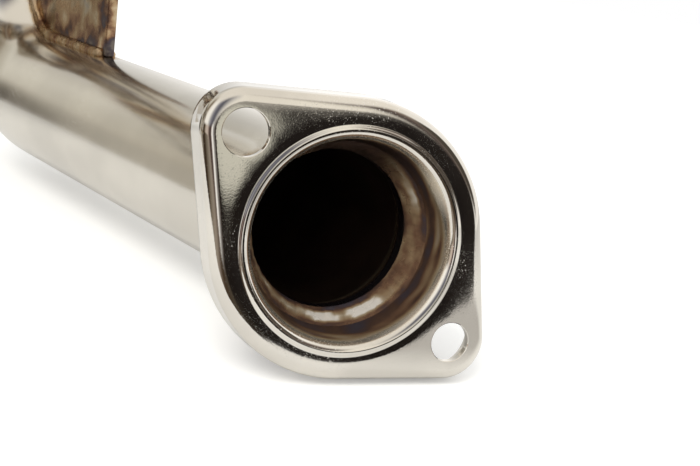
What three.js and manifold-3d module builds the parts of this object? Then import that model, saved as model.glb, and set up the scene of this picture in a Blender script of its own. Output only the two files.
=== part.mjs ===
// Four-into-one tubular exhaust manifold of polished stainless steel, with a stamped two-bolt outlet
// flange. Millimetres, +Z up. The head flange lies on its sealing face, which is the plane z = 0, and
// the origin is the middle of that face. The ports stand in a row along Y, the collector runs along +X,
// and the outlet pipe runs back along -Y to its flange, whose straight side rests on the same plane.
import * as THREE from "three";
import { mergeVertices } from "three/addons/utils/BufferGeometryUtils.js";
import Module from "manifold-3d";

const wasm = await Module();
wasm.setup();

// Fits between pieces, and how far a cutting tool stands past what it cuts
const WELD_GAP = 0.3;
const SLIP_GAP = 0.4;
const CUT_OVERRUN = 3;
const SAME_POINT = 0.0001;

// Head flange plate and its studs
const PORT_COUNT = 4;
const PORT_SPACING = 92;
const PLATE_THICK = 10;
const PORT_PAD_RADIUS = 32;
const WEB_HALF_WIDTH = 21;
const STUD_HOLE_RADIUS = 4.5;
const STUD_EAR_RADIUS = 12;
const UPPER_STUD_X = 37;
const LOWER_STUD_X = -37;
const END_STUD_INSET = 5;

// Runner tubes
const RUNNER_RADIUS = 21.2;
const RUNNER_WALL = 1.5;
const RUNNER_BEND = 64;
const RUNNER_RECESS = 1.5;
const RUNNER_TURN_X = 140;
const BUNDLE_CLEARANCE = 0.15;

// Collector
const COLLECTOR_AXIS_Z = 191;
const MOUTH_X = 184;
const MOUTH_LENGTH = 28;
const RUNNER_INSERT = 25;
const TAPER_LENGTH = 92;
const SPIGOT_LENGTH = 46;
const COLLECTOR_WALL = 1.5;
const COLLECTOR_TAPER_SHARES = [0, 0.22, 0.5, 0.78, 1];
const SPIKE_LENGTH = 48;
const SPIKE_CORNER = 14.6;

// Outlet tubing
const PIPE_RADIUS = 31.75;
const PIPE_WALL = 1.6;
const PIPE_BEND = 63.5;
const TUBE_STUB = 8;
const BUTT_GAP = 0.6;
const RISER_STRAIGHT = 10;
const OUTLET_RUN = 280;

// Sized-down end of the outlet pipe, inside the flange
const END_RADIUS = 29.75;
const END_DEPTH = 26;
const END_PAST_NECK = 1;
const END_TAPER = 5;
const END_TO_BEND = 26;

// Outlet flange: steps outward from the neck's bore, leads forward from the depth of the pipe's end
const FLANGE_YAW_DEG = 22;
const FLANGE_LEAN_DEG = 6.7;
const BOLT_HOLE_RADIUS = 7.3;
const HOLE_TO_LIP = 5.5;
const FLANGE_SHEET = 2.5;
const LIP_TO_FLAT_EDGE = 4.5;
const FLAT_EAR_RADIUS = 9.7;
const EDGE_ROUND = 4.4;
const SKIRT_DEPTH = 14;
const SKIRT_FLARE = 0.8;
const LIP_STEP = 8.35;
const LIP_ROUND = 4.6;
const BOWL_MID_STEP = 2.45;
const BOWL_MID_LEAD = 14;
const BOWL_END_STEP = 1.05;
const BOWL_END_LEAD = 7;
const NECK_LEAD = 2;
const NECK_OVERLAP = 5;

// Weld beads
const FILLET_SHARES = [0.72, 0.42];
const CROWN_SHARES = [0.7, 0.6];
const PORT_BEAD_LEG = 5;
const BUTT_BEAD_WIDTH = 7;
const BUTT_BEAD_HEIGHT = 1.8;
const BUNDLE_BEAD_RADIUS = 4;
const BUNDLE_BEAD_LENGTH = 16;
const MOUTH_BEAD_WIDTH = 3.2;
const MOUTH_BEAD_LENGTH = 4;
const SOCKET_BEAD_LENGTH = 6.4;
const SOCKET_BEAD_TOE = 1.2;
const BRACKET_BEAD_RADIUS = 3.2;
const BRACKET_BEAD_RISE = 0.8;

// Support bracket in the corner of the outlet elbow
const BRACKET_THICK = 5;
const BRACKET_REACH = 118;
const BRACKET_HOLE_RADIUS = 5.3;
const BRACKET_LUG_RADIUS = 15;
const BRACKET_LUG_START_DEG = 62;
const BRACKET_HOLE_Z = 84;
const BRACKET_SEAT_TOP = 70;

// Oxygen sensor boss and its plug
const BOSS_FROM_END = 24;
const BOSS_RADIUS = 14;
const BOSS_BORE_RADIUS = 9;
const BOSS_TOP = 13;
const BOSS_BEAD_LEG = 4;
const BOSS_BEAD_DROP = 7;
const PLUG_HEX_RADIUS = 12.7;
const PLUG_HEX_HEIGHT = 9;
const PLUG_SHANK_RADIUS = 8.6;
const PLUG_SHANK_LENGTH = 12;
const WASHER_RADIUS = 12;
const WASHER_THICK = 1.5;

// Facets
const PIPE_SIDES = 28;
const RUNNER_SIDES = 20;
const LOBE_STEPS = 9;
const COLLECTOR_SIDES = 4 * LOBE_STEPS;
const FLANGE_ARC_STEPS = 10;
const ROUND_STEPS = 3;
const BEAD_SIDES = 8;
const BEND_STEP_DEG = 18;
const HOLE_SIDES = 12;
const BRACKET_ARC_STEPS = 6;

// Finishes
const polished = { color: 0xb4aea4, roughness: 0.09, metalness: 1 };
const platePolish = { color: 0xaaa59c, roughness: 0.16, metalness: 1 };
const beadSteel = { color: 0x9c9182, roughness: 0.42, metalness: 1 };
const tinted = { color: 0x6e4c30, roughness: 0.3, metalness: 1 };
const plated = { color: 0xa8a49a, roughness: 0.28, metalness: 1 };
const copper = { color: 0xb06a42, roughness: 0.35, metalness: 1 };

const radians = THREE.MathUtils.degToRad;
const origin = new THREE.Vector2();
const manifold = new THREE.Group();

// Solids and cuts

function signedVolume(geometry) {
  const p = geometry.attributes.position;
  const index = geometry.index.array;
  const a = new THREE.Vector3();
  const b = new THREE.Vector3();
  const c = new THREE.Vector3();
  let sum = 0;
  for (let i = 0; i < index.length; i += 3) {
    a.fromBufferAttribute(p, index[i]);
    b.fromBufferAttribute(p, index[i + 1]);
    c.fromBufferAttribute(p, index[i + 2]);
    sum += a.dot(b.cross(c));
  }
  return sum;
}

// Welds the shared vertices of a closed surface and turns its faces outward.
function closed(geometry) {
  geometry.deleteAttribute("normal");
  geometry.deleteAttribute("uv");
  const welded = mergeVertices(geometry, SAME_POINT);
  const kept = [];
  const index = welded.index.array;
  for (let i = 0; i < index.length; i += 3) {
    const [a, b, c] = [index[i], index[i + 1], index[i + 2]];
    if (a !== b && b !== c && c !== a) {
      kept.push(a, b, c);
    }
  }
  welded.setIndex(kept);
  if (signedVolume(welded) < 0) {
    for (let i = 0; i < kept.length; i += 3) {
      [kept[i], kept[i + 1]] = [kept[i + 1], kept[i]];
    }
    welded.setIndex(kept);
  }
  return welded;
}

function solid(geometry) {
  const welded = closed(geometry.clone());
  const vertProperties = new Float32Array(welded.attributes.position.array);
  const triVerts = new Uint32Array(welded.index.array);
  return new wasm.Manifold(new wasm.Mesh({ numProp: 3, vertProperties, triVerts }));
}

function surface(body) {
  const mesh = body.getMesh();
  const geometry = new THREE.BufferGeometry();
  geometry.setAttribute("position", new THREE.BufferAttribute(mesh.vertProperties, 3));
  geometry.setIndex(new THREE.BufferAttribute(mesh.triVerts, 1));
  return geometry;
}

function cut(geometry, ...tools) {
  return surface(tools.reduce((left, tool) => left.subtract(solid(tool)), solid(geometry)));
}

function join(first, ...others) {
  return surface(others.reduce((sum, other) => sum.add(solid(other)), solid(first)));
}

// Adds one named piece; parent carries its place.
function piece(name, geometry, finish, parent = manifold) {
  const mesh = new THREE.Mesh(closed(geometry), new THREE.MeshStandardMaterial(finish));
  mesh.name = name;
  parent.add(mesh);
  return mesh;
}

// Outlines and tubes

function circlePoints(radius, sides, centreX = 0, centreY = 0) {
  const points = [];
  for (let i = 0; i < sides; i += 1) {
    const angle = (2 * Math.PI * i) / sides;
    points.push(new THREE.Vector2(centreX + radius * Math.cos(angle), centreY + radius * Math.sin(angle)));
  }
  return points;
}

function ringShape(outer, inner) {
  const shape = new THREE.Shape(outer);
  if (inner) {
    shape.holes.push(new THREE.Path(inner));
  }
  return shape;
}

// A tube's centre line: straight runs between corners, with a round bend at each inner corner.
class TubeRoute extends THREE.Curve {
  constructor(corners, bends) {
    super();
    this.points = [corners[0]];
    this.tangents = [corners[1].clone().sub(corners[0]).normalize()];
    for (let i = 1; i < corners.length - 1; i += 1) {
      this.addBend(corners[i - 1], corners[i], corners[i + 1], bends[i - 1]);
    }
    const last = corners.length - 1;
    this.points.push(corners[last]);
    this.tangents.push(corners[last].clone().sub(corners[last - 1]).normalize());
    this.steps = this.points.length - 1;
  }

  addBend(before, corner, after, radius) {
    const along = corner.clone().sub(before).normalize();
    const onward = after.clone().sub(corner).normalize();
    const angle = along.angleTo(onward);
    const start = corner.clone().addScaledVector(along, -radius * Math.tan(angle / 2));
    const inward = onward.clone().addScaledVector(along, -onward.dot(along)).normalize();
    const steps = Math.max(2, Math.ceil(angle / radians(BEND_STEP_DEG)));
    for (let i = 0; i <= steps; i += 1) {
      const turn = (angle * i) / steps;
      const point = start.clone().addScaledVector(along, radius * Math.sin(turn));
      this.points.push(point.addScaledVector(inward, radius * (1 - Math.cos(turn))));
      const tangent = along.clone().multiplyScalar(Math.cos(turn));
      this.tangents.push(tangent.addScaledVector(inward, Math.sin(turn)));
    }
  }

  getPointAt(u) {
    return this.points[Math.round(u * this.steps)].clone();
  }

  getTangentAt(u) {
    return this.tangents[Math.round(u * this.steps)].clone();
  }

  getPoint(u) {
    return this.getPointAt(u);
  }
}

// A tube along a route. Without a wall it is solid, which serves as a cutting tool.
function tube(route, radius, wall, sides) {
  const inner = wall ? circlePoints(radius - wall, sides) : null;
  const shape = ringShape(circlePoints(radius, sides), inner);
  return new THREE.ExtrudeGeometry(shape, { extrudePath: route, steps: route.steps });
}

// A closed profile of (radius, height) pairs turned about its own Y axis.
function turned(profile, sides) {
  const points = profile.map(([radius, height]) => new THREE.Vector2(radius, height));
  points.push(points[0].clone());
  return new THREE.LatheGeometry(points, sides);
}

// A flat plate in XY of the given outline, standing from z = 0.
function plate(shape, thickness) {
  return new THREE.ExtrudeGeometry(shape, { depth: thickness, bevelEnabled: false });
}

function post(radius, height, sides, x, y, z) {
  const geometry = new THREE.CylinderGeometry(radius, radius, height, sides);
  geometry.rotateX(Math.PI / 2);
  return geometry.translate(x, y, z);
}

const at = (x, y, z) => new THREE.Vector3(x, y, z);

// Head flange: one laser-cut plate, with a pad round each port and an ear round each stud hole.

const portRow = Array.from({ length: PORT_COUNT }, (_, i) => (i - (PORT_COUNT - 1) / 2) * PORT_SPACING);
const lastPort = portRow[PORT_COUNT - 1];
const endStud = lastPort + PORT_SPACING / 2 - END_STUD_INSET;
const upperStuds = [-endStud, -PORT_SPACING, 0, PORT_SPACING, endStud];

// An ear round the stud hole at (x, y), with an arm from (0, rootY) in the middle of the plate.
function studEar(x, y, rootY) {
  const arm = new THREE.Vector2(x, y - rootY);
  const shape = new THREE.Shape(circlePoints(STUD_EAR_RADIUS, HOLE_SIDES, x, y));
  const bar = new THREE.BoxGeometry(arm.length(), 2 * STUD_EAR_RADIUS, PLATE_THICK);
  bar.rotateZ(arm.angle());
  return join(plate(shape, PLATE_THICK), bar.translate(x / 2, (y + rootY) / 2, PLATE_THICK / 2));
}

function headFlange() {
  const half = PLATE_THICK / 2;
  const through = PLATE_THICK + 2 * CUT_OVERRUN;
  const web = new THREE.BoxGeometry(2 * WEB_HALF_WIDTH, 2 * lastPort, PLATE_THICK);
  const parts = [];
  for (const y of portRow) {
    const pad = new THREE.Shape(circlePoints(PORT_PAD_RADIUS, PIPE_SIDES, 0, y));
    parts.push(plate(pad, PLATE_THICK), studEar(LOWER_STUD_X, y, y));
  }
  for (const y of upperStuds) {
    parts.push(studEar(UPPER_STUD_X, y, THREE.MathUtils.clamp(y, -lastPort, lastPort)));
  }
  const blank = join(web.translate(0, 0, half), ...parts);
  const bores = portRow.map((y) => post(RUNNER_RADIUS + SLIP_GAP, through, PIPE_SIDES, 0, y, half));
  const lower = portRow.map((y) => post(STUD_HOLE_RADIUS, through, HOLE_SIDES, LOWER_STUD_X, y, half));
  const upper = upperStuds.map((y) => post(STUD_HOLE_RADIUS, through, HOLE_SIDES, UPPER_STUD_X, y, half));
  return cut(blank, ...bores, ...lower, ...upper);
}

piece("head_flange", headFlange(), platePolish);

// Runners: the two outer tubes take the upper lanes of the bundle, the two inner tubes the lower ones.

const runnerEndX = MOUTH_X + RUNNER_INSERT;
const bundleHalf = RUNNER_RADIUS + BUNDLE_CLEARANCE;

function runnerRoute(y) {
  const outer = Math.abs(y) > PORT_SPACING;
  const laneZ = COLLECTOR_AXIS_Z + (outer ? bundleHalf : -bundleHalf);
  const laneY = Math.sign(y) * bundleHalf;
  const corners = [
    at(0, y, RUNNER_RECESS),
    at(0, y, laneZ),
    at(RUNNER_TURN_X, laneY, laneZ),
    at(runnerEndX, laneY, laneZ),
  ];
  return new TubeRoute(corners, [RUNNER_BEND, RUNNER_BEND]);
}

function portBead() {
  const inner = RUNNER_RADIUS + WELD_GAP;
  const profile = [
    [inner, 0],
    [inner + PORT_BEAD_LEG, 0],
    [inner + PORT_BEAD_LEG * FILLET_SHARES[0], PORT_BEAD_LEG * FILLET_SHARES[1]],
    [inner + PORT_BEAD_LEG * FILLET_SHARES[1], PORT_BEAD_LEG * FILLET_SHARES[0]],
    [inner, PORT_BEAD_LEG],
  ];
  return turned(profile, RUNNER_SIDES).rotateX(Math.PI / 2);
}

portRow.forEach((y, i) => {
  piece(`runner_${i + 1}`, tube(runnerRoute(y), RUNNER_RADIUS, RUNNER_WALL, RUNNER_SIDES), polished);
  const bead = piece(`port_weld_${i + 1}`, portBead(), beadSteel);
  bead.position.set(0, y, PLATE_THICK);
});

// Seams that tie the four runners together ahead of the collector, one in each outer valley.

const seamReach = RUNNER_RADIUS + BUNDLE_BEAD_RADIUS + WELD_GAP;
const valley = bundleHalf + Math.sqrt(seamReach ** 2 - bundleHalf ** 2);
const seamX = MOUTH_X - MOUTH_BEAD_LENGTH - BUNDLE_BEAD_LENGTH / 2;
const seams = { upper: [0, valley], lower: [0, -valley], left: [-valley, 0], right: [valley, 0] };
for (const [side, [y, z]] of Object.entries(seams)) {
  const bead = new THREE.CylinderGeometry(BUNDLE_BEAD_RADIUS, BUNDLE_BEAD_RADIUS, BUNDLE_BEAD_LENGTH, BEAD_SIDES);
  const seam = piece(`bundle_weld_${side}`, bead.rotateZ(Math.PI / 2), beadSteel);
  seam.position.set(seamX, y, COLLECTOR_AXIS_Z + z);
}

// Collector: its mouth follows the four tubes, and it blends to one round spigot.

const spigotStart = MOUTH_LENGTH + TAPER_LENGTH;
const collectorLength = spigotStart + SPIGOT_LENGTH;
const collectorEndX = MOUTH_X + collectorLength;

// The outline round the four tubes: one wide arc in each quarter, meeting the next in a valley. The
// arcs' facets stand clear of the tubes by the given gap.
function lobedOutline(gap) {
  const opened = RUNNER_RADIUS + gap;
  const rise = Math.sqrt(opened ** 2 - bundleHalf ** 2);
  const reach = Math.PI / 4 + Math.atan2(bundleHalf, rise);
  const radius = opened / Math.cos(reach / LOBE_STEPS);
  const points = [];
  for (let quarter = 0; quarter < 4; quarter += 1) {
    const middle = Math.PI / 4 + (quarter * Math.PI) / 2;
    const centre = new THREE.Vector2(Math.cos(middle), Math.sin(middle));
    centre.multiplyScalar(bundleHalf * Math.SQRT2);
    points.push(new THREE.Vector2(bundleHalf + rise, 0).rotateAround(origin, middle - Math.PI / 4));
    for (let i = 1; i < LOBE_STEPS; i += 1) {
      const angle = middle + reach * ((2 * i) / LOBE_STEPS - 1);
      const spoke = new THREE.Vector2(Math.cos(angle), Math.sin(angle));
      points.push(centre.clone().addScaledVector(spoke, radius));
    }
  }
  return points;
}

function collectorStations(lobed, round) {
  const stations = [{ height: 0, blend: 0, lobed, round }];
  for (const share of COLLECTOR_TAPER_SHARES) {
    const blend = THREE.MathUtils.smoothstep(share, 0, 1);
    stations.push({ height: MOUTH_LENGTH + TAPER_LENGTH * share, blend, lobed, round });
  }
  stations.push({ height: collectorLength, blend: 1, lobed, round });
  return stations;
}

function collectorShell() {
  const outer = collectorStations(lobedOutline(SLIP_GAP + COLLECTOR_WALL), PIPE_RADIUS);
  const inner = collectorStations(lobedOutline(SLIP_GAP), PIPE_RADIUS - PIPE_WALL).reverse();
  const stations = [...outer, ...inner];
  const shell = turned(stations.map((s) => [s.round, s.height]), COLLECTOR_SIDES);
  const p = shell.attributes.position;
  const rows = stations.length + 1;
  for (let i = 0; i < p.count; i += 1) {
    const station = stations[(i % rows) % stations.length];
    const spoke = Math.floor(i / rows) % COLLECTOR_SIDES;
    const angle = (2 * Math.PI * spoke) / COLLECTOR_SIDES;
    const round = new THREE.Vector2(Math.cos(angle), Math.sin(angle)).multiplyScalar(station.round);
    const place = station.lobed[spoke].clone().lerp(round, station.blend);
    p.setXYZ(i, place.x, station.height, place.y);
  }
  return shell.rotateZ(-Math.PI / 2).translate(MOUTH_X, 0, COLLECTOR_AXIS_Z);
}

const bossX = collectorEndX - BOSS_FROM_END;
const bossBaseZ = COLLECTOR_AXIS_Z + PIPE_RADIUS;
const bossHole = post(BOSS_BORE_RADIUS, PIPE_RADIUS, RUNNER_SIDES, bossX, 0, bossBaseZ);
piece("collector", cut(collectorShell(), bossHole), polished);

function mouthBead() {
  const inner = lobedOutline(SLIP_GAP);
  const outer = lobedOutline(SLIP_GAP + MOUTH_BEAD_WIDTH);
  const bead = plate(ringShape(outer, inner), MOUTH_BEAD_LENGTH);
  bead.rotateY(Math.PI / 2);
  return bead.translate(MOUTH_X - MOUTH_BEAD_LENGTH, 0, COLLECTOR_AXIS_Z);
}

piece("collector_mouth_weld", mouthBead(), beadSteel);

// Merge spike: a four-sided point that closes the gap between the tube ends.

const spike = new THREE.ConeGeometry(SPIKE_CORNER, SPIKE_LENGTH, 4);
spike.rotateZ(-Math.PI / 2);
piece("merge_spike", spike.translate(runnerEndX + SPIKE_LENGTH / 2, 0, COLLECTOR_AXIS_Z), platePolish);

// Oxygen sensor boss, welded on the spigot, and the plug that closes it.

const spigotLine = new TubeRoute([
  at(MOUTH_X + spigotStart, 0, COLLECTOR_AXIS_Z),
  at(collectorEndX, 0, COLLECTOR_AXIS_Z),
], []);
const spigotTool = tube(spigotLine, PIPE_RADIUS + WELD_GAP, 0, COLLECTOR_SIDES);
const boss = new THREE.Group();
boss.position.set(bossX, 0, bossBaseZ);
manifold.add(boss);
const bossCutter = spigotTool.clone().translate(-bossX, 0, -bossBaseZ);

function bossBody() {
  const profile = [
    [BOSS_BORE_RADIUS, -BOSS_BEAD_DROP],
    [BOSS_RADIUS, -BOSS_BEAD_DROP],
    [BOSS_RADIUS, BOSS_TOP],
    [BOSS_BORE_RADIUS, BOSS_TOP],
  ];
  return cut(turned(profile, PIPE_SIDES).rotateX(Math.PI / 2), bossCutter);
}

function bossBead() {
  const inner = BOSS_RADIUS + WELD_GAP;
  const profile = [
    [inner, -BOSS_BEAD_DROP],
    [inner + BOSS_BEAD_LEG, -BOSS_BEAD_DROP],
    [inner + BOSS_BEAD_LEG, -BOSS_BEAD_LEG],
    [inner + BOSS_BEAD_LEG / 2, 0],
    [inner, BOSS_BEAD_LEG / 2],
  ];
  return cut(turned(profile, PIPE_SIDES).rotateX(Math.PI / 2), bossCutter);
}

function plug() {
  const hex = post(PLUG_HEX_RADIUS, PLUG_HEX_HEIGHT, 6, 0, 0, BOSS_TOP + WASHER_THICK + PLUG_HEX_HEIGHT / 2);
  const shankTop = BOSS_TOP + WASHER_THICK + PLUG_HEX_HEIGHT / 2;
  const length = PLUG_SHANK_LENGTH + PLUG_HEX_HEIGHT / 2;
  const shank = post(PLUG_SHANK_RADIUS, length, RUNNER_SIDES, 0, 0, shankTop - length / 2);
  return join(hex, shank);
}

function washer() {
  const inner = PLUG_SHANK_RADIUS + SLIP_GAP;
  const profile = [
    [inner, BOSS_TOP],
    [WASHER_RADIUS, BOSS_TOP],
    [WASHER_RADIUS, BOSS_TOP + WASHER_THICK],
    [inner, BOSS_TOP + WASHER_THICK],
  ];
  return turned(profile, RUNNER_SIDES).rotateX(Math.PI / 2);
}

piece("sensor_boss", bossBody(), plated, boss);
piece("sensor_boss_weld", bossBead(), beadSteel, boss);
piece("sensor_plug", plug(), plated, boss);
piece("plug_washer", washer(), copper, boss);

// Upper elbow: turns the collector's flow down into the riser.

// Radii of the outlet flange, and the height of the outlet pipe's axis at which the flange's
// straight side rests on the plane z = 0.
const neckRadius = END_RADIUS + SLIP_GAP;
const lipRadius = neckRadius + LIP_STEP;
const flatRadius = lipRadius + LIP_TO_FLAT_EDGE;
const earReach = lipRadius + HOLE_TO_LIP + BOLT_HOLE_RADIUS;
const skirtReach = flatRadius + EDGE_ROUND + SKIRT_FLARE;
const lean = radians(FLANGE_LEAN_DEG);
const bendDepth = END_DEPTH + END_TO_BEND;
const pipeAxisZ = skirtReach * Math.cos(lean) + (SKIRT_DEPTH - bendDepth) * Math.sin(lean);

const riserX = collectorEndX + BUTT_GAP + TUBE_STUB + PIPE_BEND;
const riserTopZ = pipeAxisZ + PIPE_BEND + RISER_STRAIGHT;
const elbowRoute = new TubeRoute([
  at(collectorEndX + BUTT_GAP, 0, COLLECTOR_AXIS_Z),
  at(riserX, 0, COLLECTOR_AXIS_Z),
  at(riserX, 0, riserTopZ + BUTT_GAP),
], [PIPE_BEND]);
piece("upper_elbow", tube(elbowRoute, PIPE_RADIUS, PIPE_WALL, PIPE_SIDES), polished);

// Bead round a butt joint of two tubes.
function buttBead() {
  const inner = PIPE_RADIUS + WELD_GAP;
  const half = BUTT_BEAD_WIDTH / 2;
  const profile = [
    [inner, -half],
    [inner + BUTT_BEAD_HEIGHT * CROWN_SHARES[0], -half * CROWN_SHARES[1]],
    [inner + BUTT_BEAD_HEIGHT, 0],
    [inner + BUTT_BEAD_HEIGHT * CROWN_SHARES[0], half * CROWN_SHARES[1]],
    [inner, half],
  ];
  return turned(profile, PIPE_SIDES);
}

const collectorBead = piece("collector_outlet_weld", buttBead().rotateZ(Math.PI / 2), beadSteel);
collectorBead.position.set(collectorEndX + BUTT_GAP / 2, 0, COLLECTOR_AXIS_Z);
const riserBead = piece("riser_weld", buttBead().rotateX(Math.PI / 2), beadSteel);
riserBead.position.set(riserX, 0, riserTopZ + BUTT_GAP / 2);

// Outlet flange frame: local y points back along the bore, x is level, z is up in the face.

const flangeFrame = new THREE.Group();
flangeFrame.rotation.set(-lean, 0, -radians(FLANGE_YAW_DEG), "ZXY");
const boreBack = at(0, 1, 0).applyEuler(flangeFrame.rotation);
const bendCorner = at(riserX, -OUTLET_RUN, pipeAxisZ);
const flangeCentre = bendCorner.clone().addScaledVector(boreBack, -bendDepth);
flangeFrame.position.copy(flangeCentre);
manifold.add(flangeFrame);

// Outlet pipe: sized-down end in the flange, a slight bend, the straight run, and the turn upward.

const taperStart = END_DEPTH + NECK_OVERLAP + END_PAST_NECK;
const taperEnd = taperStart + END_TAPER;
const pipeStart = flangeCentre.clone().addScaledVector(boreBack, taperEnd);
const pipeRoute = new TubeRoute([
  pipeStart,
  bendCorner,
  at(riserX, 0, pipeAxisZ),
  at(riserX, 0, riserTopZ),
], [PIPE_BEND, PIPE_BEND]);

function pipeEnd() {
  const innerPipe = PIPE_RADIUS - PIPE_WALL;
  const innerEnd = END_RADIUS - PIPE_WALL;
  const overlap = CUT_OVERRUN;
  const profile = [
    [END_RADIUS, END_DEPTH],
    [END_RADIUS, taperStart],
    [PIPE_RADIUS, taperEnd],
    [PIPE_RADIUS, taperEnd + overlap],
    [innerPipe, taperEnd + overlap],
    [innerPipe, taperEnd],
    [innerEnd, taperStart],
    [innerEnd, END_DEPTH],
  ];
  const end = turned(profile, PIPE_SIDES);
  end.applyQuaternion(new THREE.Quaternion().setFromEuler(flangeFrame.rotation));
  return end.translate(flangeCentre.x, flangeCentre.y, flangeCentre.z);
}

const pipeTube = tube(pipeRoute, PIPE_RADIUS, PIPE_WALL, PIPE_SIDES);
piece("outlet_pipe", join(pipeTube, pipeEnd()), polished);

// Outlet flange: one stamping, swept from closed outlines. The outer ones are the tangent outline
// round the centre and the two ears; the inner ones are circles.

const sideNormal = Math.acos((flatRadius - FLAT_EAR_RADIUS) / earReach);
const earTilt = Math.PI / 2 - sideNormal;
const arcSpans = [
  { from: -sideNormal, to: sideNormal, centre: earReach, radius: FLAT_EAR_RADIUS },
  { from: sideNormal, to: Math.PI - sideNormal, centre: 0, radius: flatRadius },
  { from: Math.PI - sideNormal, to: Math.PI + sideNormal, centre: -earReach, radius: FLAT_EAR_RADIUS },
  { from: Math.PI + sideNormal, to: 2 * Math.PI - sideNormal, centre: 0, radius: flatRadius },
];

// The steps round the outline: each is a direction and the arc that it lies on.
const outlineSteps = arcSpans.flatMap((span) => {
  const steps = [];
  for (let i = 0; i <= FLANGE_ARC_STEPS; i += 1) {
    const share = i / FLANGE_ARC_STEPS;
    steps.push({ ...span, angle: THREE.MathUtils.lerp(span.from, span.to, share) });
  }
  return steps;
});

function outlinePoint(step, offset) {
  const radius = step.radius + offset;
  const x = step.centre + radius * Math.cos(step.angle);
  const z = radius * Math.sin(step.angle);
  return new THREE.Vector2(x, z).rotateAround(origin, -earTilt);
}

// Circles share the outline's steps. At a tangent point two steps have one direction, so each arc
// gets its share of the circle from the middle of one straight side to the middle of the next.
function circlePoint(step, radius) {
  const middle = (step.from + step.to) / 2;
  const opened = FLANGE_ARC_STEPS / (FLANGE_ARC_STEPS + 1);
  const angle = middle + (step.angle - middle) * opened - earTilt;
  return new THREE.Vector2(radius * Math.cos(angle), radius * Math.sin(angle));
}

function roundOff(startAngle, endAngle, radius, place) {
  const stations = [];
  for (let i = 0; i <= ROUND_STEPS; i += 1) {
    const angle = THREE.MathUtils.lerp(startAngle, endAngle, i / ROUND_STEPS);
    stations.push(place(radius * Math.sin(angle), radius * (1 - Math.cos(angle))));
  }
  return stations;
}

function flangeStations() {
  const quarter = Math.PI / 2;
  const flare = SKIRT_FLARE;
  const innerRound = EDGE_ROUND - FLANGE_SHEET;
  const outlined = (offset, depth) => ({ offset, depth });
  const circled = (radius, depth) => ({ radius, depth });
  const backRound = LIP_ROUND - FLANGE_SHEET;
  const bowlMid = neckRadius + BOWL_MID_STEP;
  const bowlEnd = neckRadius + BOWL_END_STEP;
  return [
    ...roundOff(0, quarter, EDGE_ROUND, (out, down) => outlined(out, down)),
    outlined(EDGE_ROUND + flare, SKIRT_DEPTH),
    outlined(EDGE_ROUND + flare - FLANGE_SHEET, SKIRT_DEPTH),
    ...roundOff(quarter, 0, innerRound, (out, down) => outlined(out, FLANGE_SHEET + down)),
    ...roundOff(0, quarter, backRound, (inward, down) => circled(lipRadius - inward, FLANGE_SHEET + down)),
    circled(bowlMid + FLANGE_SHEET, END_DEPTH - BOWL_MID_LEAD),
    circled(bowlEnd + FLANGE_SHEET, END_DEPTH - BOWL_END_LEAD),
    circled(neckRadius + FLANGE_SHEET, END_DEPTH - NECK_LEAD),
    circled(neckRadius + FLANGE_SHEET, END_DEPTH + NECK_OVERLAP),
    circled(neckRadius, END_DEPTH + NECK_OVERLAP),
    circled(neckRadius, END_DEPTH - NECK_LEAD),
    circled(bowlEnd, END_DEPTH - BOWL_END_LEAD),
    circled(bowlMid, END_DEPTH - BOWL_MID_LEAD),
    ...roundOff(quarter, 0, LIP_ROUND, (inward, down) => circled(lipRadius - inward, down)),
  ];
}

function flangeStamping() {
  const stations = flangeStations();
  const segments = outlineSteps.length;
  const body = turned(stations.map((s) => [s.radius ?? flatRadius + s.offset, s.depth]), segments);
  const p = body.attributes.position;
  const rows = stations.length + 1;
  for (let i = 0; i < p.count; i += 1) {
    const station = stations[(i % rows) % stations.length];
    const step = outlineSteps[Math.floor(i / rows) % segments];
    const place = station.radius ? circlePoint(step, station.radius) : outlinePoint(step, station.offset);
    p.setXYZ(i, place.x, station.depth, place.y);
  }
  return body;
}

function earHole(side) {
  const through = FLANGE_SHEET + 2 * CUT_OVERRUN;
  const hole = new THREE.CylinderGeometry(BOLT_HOLE_RADIUS, BOLT_HOLE_RADIUS, through, RUNNER_SIDES);
  const x = side * earReach * Math.cos(earTilt);
  return hole.translate(x, 0, -side * earReach * Math.sin(earTilt));
}

piece("outlet_flange", cut(flangeStamping(), earHole(1), earHole(-1)), polished, flangeFrame);

// Weld bead that joins the pipe's end to the wall of the socket.

function socketBead() {
  const outer = neckRadius - WELD_GAP;
  const inner = END_RADIUS - PIPE_WALL;
  const start = END_DEPTH - SOCKET_BEAD_LENGTH;
  const end = END_DEPTH - WELD_GAP;
  const profile = [
    [inner, end],
    [inner, end - SOCKET_BEAD_TOE],
    [inner + SOCKET_BEAD_TOE, start + SOCKET_BEAD_TOE],
    [outer, start],
    [outer, end],
  ];
  return turned(profile, PIPE_SIDES);
}

piece("socket_weld", socketBead(), tinted, flangeFrame);

// Support bracket: a flat plate that follows the inside of the elbow and carries one bolt hole.

// The outline is drawn in to the pipe's centre line, and the pipe's own shape then cuts it back.
const pipeCutter = tube(pipeRoute, PIPE_RADIUS + WELD_GAP, 0, PIPE_SIDES);

function bracketOutline() {
  const seatTop = pipeAxisZ + BRACKET_SEAT_TOP;
  const lugY = -BRACKET_REACH + BRACKET_LUG_RADIUS;
  const lugZ = pipeAxisZ + BRACKET_HOLE_Z;
  const shape = new THREE.Shape();
  shape.moveTo(-BRACKET_REACH, pipeAxisZ);
  shape.lineTo(-PIPE_BEND, pipeAxisZ);
  shape.lineTo(0, pipeAxisZ + PIPE_BEND);
  shape.lineTo(0, seatTop);
  shape.lineTo(-PIPE_RADIUS, seatTop);
  shape.absarc(lugY, lugZ, BRACKET_LUG_RADIUS, radians(BRACKET_LUG_START_DEG), Math.PI, false);
  const hole = new THREE.Path(circlePoints(BRACKET_HOLE_RADIUS, RUNNER_SIDES, lugY, lugZ));
  shape.holes.push(hole);
  return shape;
}

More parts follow.
